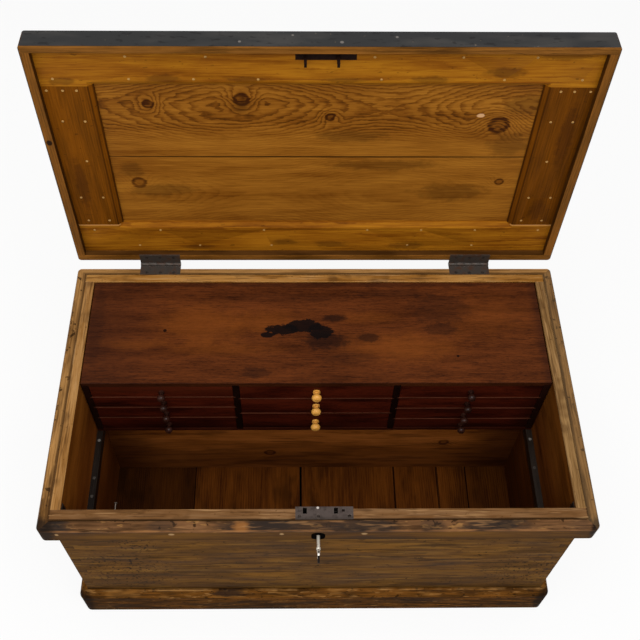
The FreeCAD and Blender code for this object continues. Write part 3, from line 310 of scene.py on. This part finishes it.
def wall_wood(name, along, pith, rim, seed, bare=False):
    """The pine of one wall, browned outside, rubbed pale on top, and redder inside."""
    pine = wood(name, "#8E4E1C", "#66340D", "#331305", along, pith, ring=5.5, waver=14, roughness=0.6,
                seed=seed, lines=0.3, streaks=0.8, gloss=0.02)
    # Inside it is golden near the top, partly its own colour and partly painted light, and painted
    # shade darkens it near the floor.
    lay(pine, past(pine, (0, 0, 1), 330, 450, 60, 60), ("#9C6222", "#744412", "#3A1A06"), 0.5)
    lay(pine, past(pine, (0, 0, -1), -300, -20, 80, 90), "#2A1106", 0.45)
    # Outside it is browner, with broad stains, dark and pale marks along the grain, and dents.
    browned = past(pine, (0, -1, 0), wall_half_depth - 1.8, wall_half_depth - 1.2)
    for axis, face in (((0, 1, 0), wall_half_depth), ((-1, 0, 0), wall_half_width),
                       ((1, 0, 0), wall_half_width)):
        outside = past(pine, axis, face - 1.8, face - 1.2)
        browned = add(pine.node_tree, "Math", (browned, outside), operation="MAXIMUM")
    lay(pine, browned, ("#7C5420", "#573814", "#251507"))
    flat = (130, 60, 14) if along == "X" else (60, 130, 14)
    lay(pine, scattered(pine, (220, 220, 60), 0.46, seed + 6, 0.2), "#33210F", 0.4, browned)
    lay(pine, scattered(pine, flat, 0.46, seed, 0.18), "#2A190A", 0.5, browned)
    lay(pine, scattered(pine, flat, 0.54, seed + 2, 0.14), "#876028", 0.5, browned)
    lay(pine, scattered(pine, (24, 24, 7), 0.57, seed + 7, 0.12), "#22150A", 0.5, browned)
    lay(pine, scattered(pine, (8, 8, 8), 0.66, seed + 1, 0.06), "#1C1006", 0.7, browned)
    for x, z, half in ((-358, 220, 80), (398, 205, 70), (-330, 370, 40)):
        cluster = spot(pine, (x, -wall_half_depth, z), (half, 10, half * 1.2), 0.5, 40, 0.5)
        lay(pine, scattered(pine, (7, 7, 9), 0.57, seed + 5, 0.06), "#180D05", 0.8, cluster)
    # Dirt lies above the plinth, and dirt and painted shade darken the step above the moulding.
    lay(pine, past(pine, (0, 0, -1), -150, -plinth_top, 30, 40), "#241407", 0.4, browned)
    top = past(pine, (0, 0, 1), wall_top - 2.5, wall_top - 1.4)
    lay(pine, top, rim)
    lay(pine, past(pine, (0, 0, 1), rim_top - 1, rim_top), "#26180C", 0.75, browned)
    # The top has small stains, and streaks along the grain.
    lay(pine, scattered(pine, (6, 6, 6), 0.66, seed + 3), "#4A2E14", 0.6, top)
    lay(pine, scattered(pine, (60, 60, 60), 0.54, seed + 4, 0.12), "#4A3018", 0.5, top)
    streak = (70, 4, 8) if along == "X" else (4, 70, 8)
    lay(pine, scattered(pine, streak, 0.54, seed + 8, 0.1), "#3E2614", 0.45, top)
    lay(pine, scattered(pine, streak, 0.58, seed + 9, 0.1), "#B48C5E", 0.4, top)
    if bare:
        lay(pine, scattered(pine, (40, 40, 40), 0.42, seed + 5), "#A87C48", 0.6)
    return pine


rubbed = ("#866443", "#6A4828", "#36210F")
back_gold = ("#AE7F44", "#8A5B23", "#442810")
left_gold = ("#AE824E", "#865C2D", "#482A13")
right_gold = ("#9A784C", "#785832", "#402812")
for name, along, pith, rim, seed in (("front_wall", "X", (-0.19, 0.27), rubbed, 0.0),
                                     ("back_wall", "X", (0.16, 0.22), back_gold, 1.7),
                                     ("left_wall", "Y", (-0.24, -0.40), left_gold, 3.1),
                                     ("right_wall", "Y", (0.24, 0.40), right_gold, 4.9)):
    words = name.replace("_", " ")
    board = wall_wood(f"waxed pine of the {words}", along, pith, rim, seed)
    arris = wall_wood(f"rubbed arris of the {words}", along, pith, rim, seed, True)
    # The end grain below the top has taken up dirt, and painted shade darkens the inside of the right wall.
    for pine in (board, arris):
        for way in (-1, 1):
            end, face = ((way, 0, 0), wall_half_width) if along == "X" else ((0, way, 0), wall_half_depth)
            lay(pine, past(pine, end, face - 1, face - 0.4), "#241408", 0.5,
                past(pine, (0, 0, -1), 3 - wall_top, 5 - wall_top))
        if name == "right_wall":
            lay(pine, past(pine, (-1, 0, 0), -inner_half_width - 2, -inner_half_width - 0.5), "#200C04", 0.4)
    eased(name, board, arris, width=0.9)

# The rim moulding
# Four strips of pine, bevelled along the top, mitred and nailed round the walls. They take every
# knock, so their edges are bare and pale and their corners are black with dirt, and dirt and painted
# shade darken the crease along the walls.

rim_half_width = 475
rim_face = 267
# The faces of a mitre lie as near to one kind of strip as to the other, and this much keeps each whole.
mitre_margin = 0.02
# Past these places along an axis, a pattern is only on the strip of that side.
one_side = (240, 245)


def on_side_strip(centre):
    """One for a face of a side strip, and nought for one of the front or back strip."""
    beside = abs(centre.x) - wall_half_width * MM
    before = abs(centre.y) - wall_half_depth * MM
    return int(beside > before + mitre_margin * MM)


def strip_wood(name, along, seed, shades, gloss=0.02, bare=False):
    """Pine that has been kicked and rubbed, with dirt smeared along its grain."""
    pine = wood(name, *shades, along, (-0.30, 0.40), ring=4.5, waver=8, roughness=0.6, seed=seed, lines=0.35,
                streaks=1.2, gloss=gloss)
    lay(pine, scattered(pine, (70, 9, 7) if along == "X" else (9, 70, 7), 0.50, seed, 0.18), "#2A1C10", 0.5)
    lay(pine, scattered(pine, (12, 12, 6), 0.60, seed + 1), "#1E1208", 0.8)
    lay(pine, scattered(pine, (26, 8, 6) if along == "X" else (8, 26, 6), 0.60, seed + 2), "#B08048", 0.45)
    if bare:
        lay(pine, scattered(pine, (45, 45, 20), 0.42, seed + 2, 0.2), "#A87C48", 0.7)
    return pine


front_shades = ("#785334", "#523720", "#28170D")
side_shades = ("#A67A46", "#7A552C", "#34200E")
rim_front = strip_wood("pine of the long rim strips", "X", 6.3, front_shades)
rim_side = strip_wood("pine of the side rim strips", "Y", 6.9, side_shades)
rim_edge = strip_wood("bare edge of the rim strips", "X", 6.3, front_shades, bare=True)
for pine in (rim_front, rim_edge):
    lay(pine, past(pine, (0, 1, 0), 0, 20), side_shades)
    # The top edge of the front strip has black smears, one bare patch and pale streaks.
    for x, half, strength in ((-446, 30, 0.85), (-101, 60, 0.85), (75, 52, 0.8), (298, 56, 0.85),
                              (440, 20, 0.4), (-265, 22, 0.5), (190, 20, 0.5), (-30, 70, 0.6)):
        lay(pine, spot(pine, (x, 5 - rim_face, 474), (half, 16, 14), 0.9, 9, 0.4, 5), "#2C2521", strength)
    lay(pine, spot(pine, (-131, 5 - rim_face, 474), (12, 10, 12), 0.9, 6, 0.5, 3), "#9A6432", 0.7)
    lay(pine, scattered(pine, (60, 8, 4), 0.58, 9.1, 0.1), "#A67A4E", 0.4)
    # The foot of its bevel is worn. Its face below is browner, with a dark lower part and four pale chips.
    above = past(pine, (0, 0, 1), 465, 468.5)
    below = past(pine, (0, 0, -1), -473.5, -471)
    worn = add(pine.node_tree, "Math", (above, below), operation="MULTIPLY")
    lay(pine, scattered(pine, (60, 20, 20), 0.36, 3.3, 0.25), "#9E6C40", 0.7, worn)
    lay(pine, past(pine, (0, 0, -1), -467, -464), ("#6E4A1E", "#4C3012", "#221407"),
        1.0, past(pine, (0, -1, 0), 200, 220))
    lay(pine, past(pine, (0, 0, -1), -446, -428), "#1E1208", 0.5)
    for x, half in ((-442, 3), (-249, 5), (-63, 3.5), (77, 5)):
        lay(pine, spot(pine, (x, -rim_face, 457), (half, 4, 4), 0.4, 4, 0.3), "#B89468", 0.75)
# The front corners are black, dirt and painted shade lie in the crease along the walls, and the right
# strip is greyer.
for pine in (rim_front, rim_side, rim_edge):
    for side, half in ((-1, 26), (1, 12)):
        corner = (side * (rim_half_width - 3), 1 - rim_face, 468)
        lay(pine, spot(pine, corner, (half, 22, 42), 0.5, 10), "#1E1713", 0.85)
for side, dirt in ((-1, "#4A3018"), (1, "#342212")):
    lay(rim_side, past(rim_side, (-side, 0, 0), -wall_half_width - 7, -wall_half_width - 3), dirt, 0.75,
        past(rim_side, (side, 0, 0), *one_side))
lay(rim_side, past(rim_side, (1, 0, 0), *one_side), "#5A4832", 0.45)
lay(rim_front, past(rim_front, (0, -1, 0), -wall_half_depth - 9, -wall_half_depth - 5.5), "#3C2814", 0.75,
    past(rim_front, (0, 1, 0), *one_side))
eased("rim_moulding", rim_front, rim_side, rim_edge, width=1.6, steps=3, least_angle=20, choose=on_side_strip)

# The plinth
# Four strips of the same pine round the foot, bevelled along the top, where shoes have scuffed them
# pale. They are mitred at the corners and nailed to the walls.

foot_gloss = 0.005
foot_shades = ("#7A4C1C", "#4E3010", "#1E1004")
foot_front = strip_wood("pine of the long plinth strips", "X", 8.1, foot_shades, foot_gloss)
foot_side = strip_wood("pine of the side plinth strips", "Y", 8.7, foot_shades, foot_gloss)
foot_edge = strip_wood("bare edge of the plinth strips", "X", 8.1, foot_shades, foot_gloss, True)
for pine in (foot_front, foot_side, foot_edge):
    # Its face is dirtier than its bevel, which is scuffed pale, and its front corners are black.
    under_bevel = past(pine, (0, 0, -1), -82, -76)
    lay(pine, under_bevel, "#1E1207", 0.25)
    lay(pine, scattered(pine, (90, 30, 14), 0.48, 5.7, 0.12), "#1C1006", 0.6, under_bevel)
    lay(pine, scattered(pine, (60, 20, 20), 0.50, 2.7, 0.16), "#94652F", 0.5, past(pine, (0, 0, 1), 80, 84))
    lay(pine, scattered(pine, (80, 40, 16), 0.52, 6.2, 0.16), "#1E140E", 0.5)
    for side in (-1, 1):
        lay(pine, spot(pine, (side * 470, -262, 60), (22, 16, 60), 0.4, 14), "#140E0A", 0.8)
    lay(pine, spot(pine, (-172, -259, 96), (34, 14, 12), 0.8, 9, 0.3, 4), "#221B18", 0.8)
eased("plinth", foot_front, foot_side, foot_edge, width=1.6, steps=3, least_angle=20, choose=on_side_strip)

# The floor of the chest
# Six pine boards, tongued together and laid front to back under the walls. They have shrunk apart in
# one place, and are dull and dark from tools and oil, with painted shade at both ends and in the seams.

floor_face = 12
seam_places = (-263.5, -27.5, 183, 279, 345)
seams = [((1, 0, 0), x, (0.7, 0.061, 0.02)) for x in seam_places]
boards = wood("oiled pine of the floor", "#6C3A10", "#442006", "#1C0A02", "Y", (0.12, -0.06), ring=4,
              waver=12, roughness=0.75, seed=2.2, lines=0.25, seams=seams, streaks=0.6, gloss=0.02)
# Painted shade darkens both ends, oil has soaked in, the seams are painted black as shadow, and there
# are three small knots.
lay(boards, past(boards, (-1, 0, 0), 258, 268), "#1A0A02", 0.62)
lay(boards, past(boards, (1, 0, 0), 270, 360, 60, 50), "#160A02", 0.4)
lay(boards, scattered(boards, (50, 90, 50), 0.52, 4.4, 0.2), "#1A0C02", 0.5)
for x, half, strength in zip(seam_places, (1.4, 2.4, 1.6, 1.4, 1.4), (0.5, 1.0, 0.85, 0.8, 0.8)):
    lay(boards, spot(boards, (x, 0, floor_face), (half, 600, 12), 0.2, 30), "#080301", strength)
# The sides of the boards below the floor's face are painted black too, as the shadow in the seams.
hollow = past(boards, (0, 0, -1), 1.2 - floor_face, 2.4 - floor_face)
lay(boards, hollow, "#040201", 1.0, past(boards, (0, 0, 1), 2, 3))
for x, y, half in ((-105, -105, 9), (-78, -107, 6), (132, -92, 12)):
    lay(boards, spot(boards, (x, y, floor_face), (half, half * 0.7, 6), 0.4, 6), "#140802", 0.75)
eased("floor_boards", boards, width=0.8)

# The partition and the runners
# A pine board stands across the chest under the nest of drawers. Two dark oak strips are nailed along
# the side walls, and the nest slides on them, so the nail heads along their tops are polished.

board = wood("waxed pine of the partition", "#BE7030", "#92521C", "#461F0A", "X", (0.10, 0.20), waver=12,
             roughness=0.6, seed=5.5, lines=0.35, knots=(((-95, 47, 92), 10), ((281, 47, 142), 9)))
# Painted shade darkens it near the floor, and it is darker at both ends.
lay(board, past(board, (0, 0, -1), -220, -50, 50, 80), "#2E1206", 0.5)
lay(board, scattered(board, (120, 60, 16), 0.5, 3.9, 0.15), "#2A1206", 0.45)
for side in (-1, 1):
    lay(board, past(board, (side, 0, 0), 290, 420, 60, 60), "#2A0C05", 0.6)
eased("well_partition", board, width=0.8)
strip = wood("oak of the runners, black with wear", "#2A2018", "#1A120C", "#0A0604", "Y", (0.5, 0.2), ring=3,
             roughness=0.4, seed=7.7, lines=0.3, flecks=0.3, gloss=0.2)
eased("till_runners", strip, width=0.8)


def iron(name, code, rust, metallic=0.75, roughness=0.55, patch=12, worn=0.5, gloss=0.5):
    """Iron with rust or bare metal in patches. Its pits are finer in life and are drawn to show."""
    pit = 1.5
    material = blank(name, roughness, gloss)
    tree = material.node_tree
    shader = tree.nodes["Principled BSDF"]
    place = tree.nodes["place"]
    skin = add(tree, "TexNoise", {"Vector": place, "Scale": 1 / (patch * MM), "Detail": 4.0,
                                  "Roughness": 0.65})
    shades = add(tree, "ValToRGB", (skin,), ((0.32, rust), (0.32 + worn * 0.4, code)))
    pits = add(tree, "TexNoise", {"Vector": place, "Scale": 1 / (pit * MM), "Detail": 3.0, "Roughness": 0.7})
    bump = add(tree, "Bump", {"Height": pits, "Strength": 0.5, "Distance": 0.3 * MM})
    dull = add(tree, "MapRange", {"Value": skin, "From Min": 0.3, "From Max": 0.7, "To Min": roughness + 0.15,
                                  "To Max": roughness - 0.1})
    for node, socket in ((shades, "Base Color"), (bump, "Normal"), (dull, "Roughness")):
        tree.links.new(node.outputs[0], shader.inputs[socket])
    shader.inputs["Metallic"].default_value = metallic
    return material


# The nails near the front are duller.
polished = iron("nail heads rubbed bright", "#A8A49C", "#5A5048", 0.9, 0.35, 6, 0.2)
lay(polished, past(polished, (0, -1, 0), 40, 70), "#3A322C", 0.75)
eased("runner_nails", polished, width=0)

# Iron inside the chest
# Two small bent irons hold the front corners, a round nail stands out of the front wall, and a sheet
# iron box holds the lock. All of it is black iron, dull with old wax.

black_iron = iron("black iron", "#2C2824", "#3A2418")
for name in ("corner_irons", "lock_case"):
    eased(name, black_iron, width=0.3)
eased("hanging_nail", iron("worn round nail", "#5A5048", "#40302A", 0.8, 0.45, 6), width=0.3)

# The lock
# The lock's top plate is let into the front wall, and a bolt with two tongues slides under it. An oval
# plate rings the keyhole, and the steel key turns in it, bright but for a ring of painted shade at its
# collar and the end of its bow, which is rusted and painted dark as shade.

plate_iron = iron("browned iron of the lock plate", "#463A34", "#30251F", 0.4, 0.6, 8)
plate_edge = iron("worn edge of the lock plate", "#6E6258", "#42352D", 0.5, 0.5, 6)
# The plate's front edge is dark, and the head of one nail in it is bright.
for metal in (plate_iron, plate_edge):
    lay(metal, past(metal, (0, -1, 0), 245, 250), "#2A2018", 0.6)
    lay(metal, spot(metal, (-2, -231, wall_top), (2.2, 2.2, 2.2), 0.1, 4, 0.2), "#C8C0B8", 0.9)
eased("lock_plate", plate_iron, plate_edge, width=0.5)
keyhole_iron = iron("black iron of the keyhole plate", "#0A0807", "#100B09", 0.0, 0.8, gloss=0.0)
eased("keyhole_escutcheon", keyhole_iron, width=0.3)
eased("lock_bolt", black_iron, width=0.2)
key_steel = iron("handled steel of the key", "#E6DECE", "#8A7664", 0.55, 0.35, 8, 0.2)
# A ring of painted shade lies in the groove at the key's collar.
lay(key_steel, spot(key_steel, (-1, -298, 447), (20, 2.2, 20), 0.1, 6), "#1A120C", 0.9)
# The end of the bow is rusted, and is painted darker still as shade where it turns down.
key_dark = iron("rusted steel of the key's bow, painted dark as shade", "#1C1612", "#0E0A08", 0.1, 0.7, gloss=0.1)
black_from = -304


def on_bow_end(centre):
    """One for a face of the end of the key's bow, and nought for the rest of the key."""
    return int(centre.y < black_from * MM)


eased("key", key_steel, key_dark, width=0.2, choose=on_bow_end)

# The hinges and their screws
# Two wrought butt hinges of five knuckles, let in flush with the wood and screwed, and the slotted
# screws that hold hinges, lock and handles.

hinge_iron = iron("wrought iron of the hinges", "#47403A", "#4E3424", 0.55, 0.5)
hinge_edge = iron("rubbed edges of the hinges", "#7A726A", "#5A4638", 0.7, 0.4)
for name in ("chest_hinge_leaves", "lid_hinge_leaves"):
    eased(name, hinge_iron, hinge_edge, width=0.5)
eased("hinge_pins", hinge_iron, width=0.3)
screw_iron = iron("screw heads", "#3A312B", "#241B16", 0.3, 0.6, 4, gloss=0.2)
eased("chest_screws", screw_iron, width=0)
eased("lid_hinge_screws", screw_iron, width=0)

# The handles
# At each end an iron plate with two pierced lugs holds a forged bail, which hangs down until it is
# lifted.

for name in ("handle_plates", "left_handle", "right_handle"):
    eased(name, iron(f"forged iron of the {name.replace('_', ' ')}", "#3A3531", "#44291A", 0.6), width=0.3)

# The lid
# A frame of two long rails and two tenoned stiles round a panel of two wide boards, with a skirt
# nailed on all round. Inside it is golden pine under old varnish, and outside it is painted grey.

# The lid's faces are given as they lie when it is shut, and the axle of its hinges in metres.
lid_half_width = 471
lid_front = 268
lid_back = 267
lid_top = 514.6
frame_face = 491
axle = Vector((0, 0.2797, 0.4778))
opened = radians(92.4)
shut = Matrix.Rotation(opened, 3, "X")


def lid_wood(name, early, late, dark, along, pith, **more):
    """Varnished pine of the lid, with its places taken as they are when the lid is shut."""
    more = {"ring": 5, "waver": 9, "lines": 0.3, "streaks": 0.6, **more}
    return wood(name, early, late, dark, along, pith, move=axle - shut @ axle, turn=(opened, 0, 0), **more)


def painted(pine):
    """Grey paint over all of the lid's outer faces, thin and dusty in places."""
    outer = past(pine, (0, 0, 1), lid_top - 2.1, lid_top - 1.1)
    for axis, face in (((1, 0, 0), lid_half_width), ((-1, 0, 0), lid_half_width), ((0, -1, 0), lid_front),
                       ((0, 1, 0), lid_back)):
        outside = past(pine, axis, face - 1.1, face - 0.6)
        outer = add(pine.node_tree, "Math", (outer, outside), operation="MAXIMUM")
    lay(pine, outer, "#323232")
    lay(pine, scattered(pine, (100, 30, 30), 0.44, 1.3, 0.3), "#42403E", 0.8, outer)
    lay(pine, scattered(pine, (20, 8, 8), 0.60, 2.3), "#1E1C1C", 0.5, outer)
    lay(pine, scattered(pine, (7, 5, 5), 0.74, 3.3, 0.03), "#8A7A66", 0.6, outer)


front_rail = lid_wood("varnished pine of the front rail", "#AC7016", "#824A0B", "#442304", "X",
                      (-0.21, 0.55), seed=0.4)
back_rail = lid_wood("varnished pine of the back rail", "#A86C14", "#7C4609", "#402204", "X",
                     (0.20, 0.56), seed=2.9)
stiles = lid_wood("varnished pine of the stiles", "#80480A", "#5E3406", "#301703", "Y", (0.58, 0.43),
                  seed=5.2, gloss=0.02, lines=0.15)
# Each stain has its place on the frame and its half sizes.
front_stains = ((-255, -190, 26, 9), (390, -240, 45, 9), (300, -205, 30, 10), (-420, -185, 20, 8),
                (-120, -190, 30, 6), (40, -188, 34, 5), (180, -190, 30, 7))
back_stains = ((-60, 225, 24, 8), (30, 232, 30, 9), (180, 236, 35, 10), (-230, 240, 30, 7))
stile_stains = ((-430, 60, 10, 60), (430, -60, 12, 70), (420, 130, 14, 30))
for pine, stains in ((front_rail, front_stains), (back_rail, back_stains), (stiles, stile_stains)):
    for x, y, across_x, across_y in stains:
        lay(pine, spot(pine, (x, y, frame_face), (across_x, across_y, 12), 0.8, 10), "#3A1C08", 0.45)
    lay(pine, scattered(pine, (14, 7, 7), 0.66, 1.9), "#2E1606", 0.45)
    painted(pine)
# Dark lines run along the inner edges of the stiles, a painted highlight lies along the back rail
# beside the panel, and the right stile is darker.
for side in (-1, 1):
    for x, strength in ((371.5, 0.7), (380, 0.6), (384, 0.35)):
        lay(stiles, spot(stiles, (side * x, 0, frame_face + 3), (1.5, 500, 12), 0.2, 30), "#241004", strength)
lay(back_rail, past(back_rail, (0, -1, 0), -178, -175), "#CC9454", 0.7,
    past(back_rail, (0, 0, -1), -495, -493))
lay(stiles, past(stiles, (1, 0, 0), 0, 20), "#2A0E02", 0.2)
eased("lid_front_rail", front_rail, width=0.6)
eased("lid_back_rail", back_rail, width=0.6)
eased("lid_stiles", stiles, width=0.6)

# The lid's panel
# Two wide boards lie in the frame's rebate with the figure of the log showing: fine rings in tongues
# and loops, and a row of knots in the front board.

panel_seam = -2
panel_level = 499


def on_panel(x, from_back):
    """A place just under the face of the panel, by its distance from the back of the lid."""
    return (x, lid_back - from_back, panel_level)


knots = ((on_panel(-288, 394), 8), (on_panel(-130, 405), 11), (on_panel(20, 365), 7),
         (on_panel(312, 347), 15), (on_panel(337, 204), 7), (on_panel(-327, 202), 11))
figured = lid_wood("figured pine of the lid panel", "#A2691F", "#784610", "#3A1A04", "X", (-0.118, 0.552),
                   ring=4.6, waver=11, sway=(-16, 500, -140), seed=9.1, jagged=1.3, lines=0.4, knots=knots,
                   seams=[((0, 1, 0), panel_seam, (0.73, -0.215, 0.0))],
                   bold=[((0, -1, 0), 25, 75), ((0, 1, 0), 110, 240)])
# The seam is dark, and there are brown stains and one pale chip.
lay(figured, spot(figured, (0, panel_seam, panel_level), (460, 1.8, 12), 0.3, 14, 0.3, 4), "#241004", 0.85)
for x, from_back, across_x, across_y in ((-290, 182, 55, 16), (-335, 235, 20, 18), (120, 248, 90, 12),
                                         (355, 395, 40, 22), (338, 300, 34, 30), (250, 176, 60, 22),
                                         (60, 320, 60, 14), (-130, 385, 16, 14)):
    lay(figured, spot(figured, on_panel(x, from_back), (across_x, across_y, 12), 0.9, 14), "#3A2008", 0.4)
lay(figured, spot(figured, (277, -102, panel_level), (7, 4.5, 8), 0.3, 6, 0.15), "#D8A878", 0.9)
painted(figured)
eased("lid_panel", figured, width=0.5)

# The lid's skirt
# Four strips nailed round the frame, standing below it so that they shut over the walls. Inside they
# match the frame, and outside they are painted with the rest of the lid.

skirt = 15
skirt_foot = 478.1


def on_skirt_side(centre):
    """One for a face of a side strip of the skirt, and nought for one of the front or back strip."""
    closed = shut @ (centre - axle) + axle
    beside = abs(closed.x) > (lid_half_width - skirt) * MM
    return int(beside and (skirt - lid_front) * MM < closed.y < (lid_back - skirt) * MM)


skirts = []
for name, along, shades, seed in (("long skirt strips", "X", ("#8C5A22", "#5E3A10", "#2E1806"), 3.3),
                                  ("side skirt strips", "Y", ("#84521B", "#5E3A10", "#2E1806"), 4.1),
                                  ("rubbed edge of the skirt", "X", ("#976A34", "#6A4318", "#301A08"), 3.3)):
    pine = lid_wood(f"varnished pine, {name}", *shades, along, (-0.2, 0.6), ring=4, seed=seed, streaks=1.0)
    # Painted shade and dirt darken all but the foot inside, and there are one knot in the left strip
    # and chips in the paint in front.
    lay(pine, past(pine, (0, 0, 1), skirt_foot + 0.5, skirt_foot + 1.1), "#1E0C04", 0.7)
    lay(pine, spot(pine, (-463.5, -58, 478), (5, 6, 4), 0.2, 4, 0.2), "#0C0604", 0.9)
    painted(pine)
    for x, z, half in ((-127, 489, 2.4), (-44, 505, 2.0), (33, 488, 3.0), (120, 501, 2.4)):
        lay(pine, spot(pine, (x, -lid_front, z), (half, 3, half), 0.2, 4, 0.15), "#7A746E", 0.7)
    skirts.append(pine)
eased("lid_skirt", *skirts, width=0.8, choose=on_skirt_side)

# Small iron on the lid
# Small nails hold the frame, and old varnish has turned their heads yellow. An iron plate with two
# staples is let into the front rail to meet the lock.

nail_iron = iron("nail heads of the lid, rubbed yellow", "#B48A4E", "#6A4420", 0.0, 0.5, 4, 0.3, 0.1)
link_iron = iron("black iron of the link plate", "#1E100A", "#120805", 0.1, 0.7, 8, gloss=0.08)
eased("lid_nails", nail_iron, width=0)
eased("link_plate", link_iron, width=0.4)

# The nest of drawers
# A mahogany case with a wide top board, thin dividers and thinner shelves, polished once and now dry
# and stained on top. Its front is nearly black in the shade of the top.

till_half_width = 434
till_face = 7
till_top = 482


def mahogany(name, early, late, dark, along="X", seed=0.0, streaks=0.9):
    """Mahogany with a ribbon of light and dark along the grain and short dark pores."""
    return wood(name, early, late, dark, along, (0.1, 0.3), ring=9, waver=20, roughness=0.55, seed=seed,
                lines=0.12, flecks=0.3, streaks=streaks, fibres=1.2)


top = mahogany("dry mahogany of the till top", "#613012", "#47210B", "#200A04", seed=1.1)
lay(top, scattered(top, (30, 3.5, 4), 0.52, 2.1, 0.14), "#240E06", 0.38)
# Golden patches, then dark stains, then the black blot in the middle.
for x, y, across_x, across_y, strength in (
        (-352, 90, 44, 11, 0.26), (-221, 134, 75, 38, 0.3), (-95, 142, 60, 22, 0.25), (160, 84, 90, 26, 0.3),
        (330, 150, 70, 40, 0.15), (-180, 80, 90, 14, 0.2), (100, 150, 50, 12, 0.2)):
    lay(top, spot(top, (x, y, till_top), (across_x, across_y, 8), 0.9, 18, 0.8), "#8E4C16", strength)
for x, y, across_x, across_y, strength in (
        (17, 97, 40, 18, 0.7), (-113, 29, 24, 12, 0.5), (34, 149, 22, 8, 0.75), (101, 104, 19, 9, 0.65),
        (240, 123, 28, 13, 0.5), (240, 170, 55, 32, 0.4), (-420, 130, 14, 90, 0.3), (0, 226, 430, 5, 0.35),
        (150, 205, 80, 9, 0.3), (60, 60, 50, 12, 0.3), (-60, 195, 130, 10, 0.2)):
    lay(top, spot(top, (x, y, till_top), (across_x, across_y, 8), 0.9, 9), "#170B08", strength)
for x, y, across_x, across_y in ((-63, 123, 31, 11), (-24, 131, 34, 14), (8, 119, 23, 17), (-92, 111, 14, 6)):
    lay(top, spot(top, (x, y, till_top), (across_x, across_y, 8), 0.7, 8, 0.1), "#0C0707", 0.95)
# The ends are darker, painted shade darkens the front edge, and there are two small black spots.
lay(top, past(top, (-1, 0, 0), 250, 420, 60, 60), "#2A140E", 0.35)
lay(top, past(top, (1, 0, 0), till_half_width - 22, till_half_width - 2), "#200E0A", 0.5)
lay(top, past(top, (0, -1, 0), -till_face - 2, -till_face - 0.4), "#1A0806", 0.5)
for x, y, half in ((266, 64, 2.6), (-288, 121, 3.4)):
    lay(top, spot(top, (x, y, till_top), (half, half, 4), 0.2, 6, 0.2), "#0A0404", 0.9)
eased("till_top", top, width=0.8)
# The ends and the dividers are painted nearly black, as shade beside the walls and between the drawers.
for name, along, shades in (("till_bottom", "X", ("#421A0A", "#2E0F05", "#140402")),
                            ("till_ends", "Y", ("#261009", "#1A0A05", "#0A0402")),
                            ("till_dividers", "Y", ("#1A0A05", "#110503", "#070201")),
                            ("till_back", "X", ("#421A0A", "#2E0F05", "#140402")),
                            ("till_shelves", "X", ("#5E3222", "#462416", "#240E08"))):
    words = name.replace("_", " ")
    eased(name, mahogany(f"mahogany of the {words}", *shades, along, seed=len(name)), width=0.3)

# The drawers
# Eleven shallow drawers in three stacks, with mahogany fronts and thin sides and bottoms. Those at the
# sides have dark turned knobs, and those in the middle pale boxwood ones.

dark_knob = wood("ebonised knobs", "#3A2018", "#22110C", "#0E0604", "Y", (0.3, 0.4), ring=2, roughness=0.2,
                 lines=0.15, gloss=0.16)
pale_knob = wood("boxwood knobs", "#EAAE56", "#D4943E", "#9A6422", "Y", (0.3, 0.4), ring=2, roughness=0.4,
                 lines=0.12, gloss=0.3)
for stack, count, knob_wood in (("left", 4, dark_knob), ("centre", 3, pale_knob), ("right", 4, dark_knob)):
    for number in range(1, count + 1):
        front = mahogany(f"mahogany of {stack} drawer {number}", "#501A0A", "#340E05", "#160402",
                         seed=number + len(stack), streaks=1.3)
        # A painted reflection makes the fronts redder high up at the left, painted shade darkens them low
        # down, and they are darker at the right.
        lay(front, past(front, (0, 0, 1), 425, 465), "#6A2E18", 0.3, past(front, (-1, 0, 0), 60, 200))
        lay(front, past(front, (0, 0, -1), -345, -290), "#0C0403", 0.55)
        lay(front, past(front, (1, 0, 0), 370, 430), "#0C0403", 0.5)
        eased(f"drawer_{stack}_{number}", front, width=0.4)
        eased(f"knob_{stack}_{number}", knob_wood, width=0)
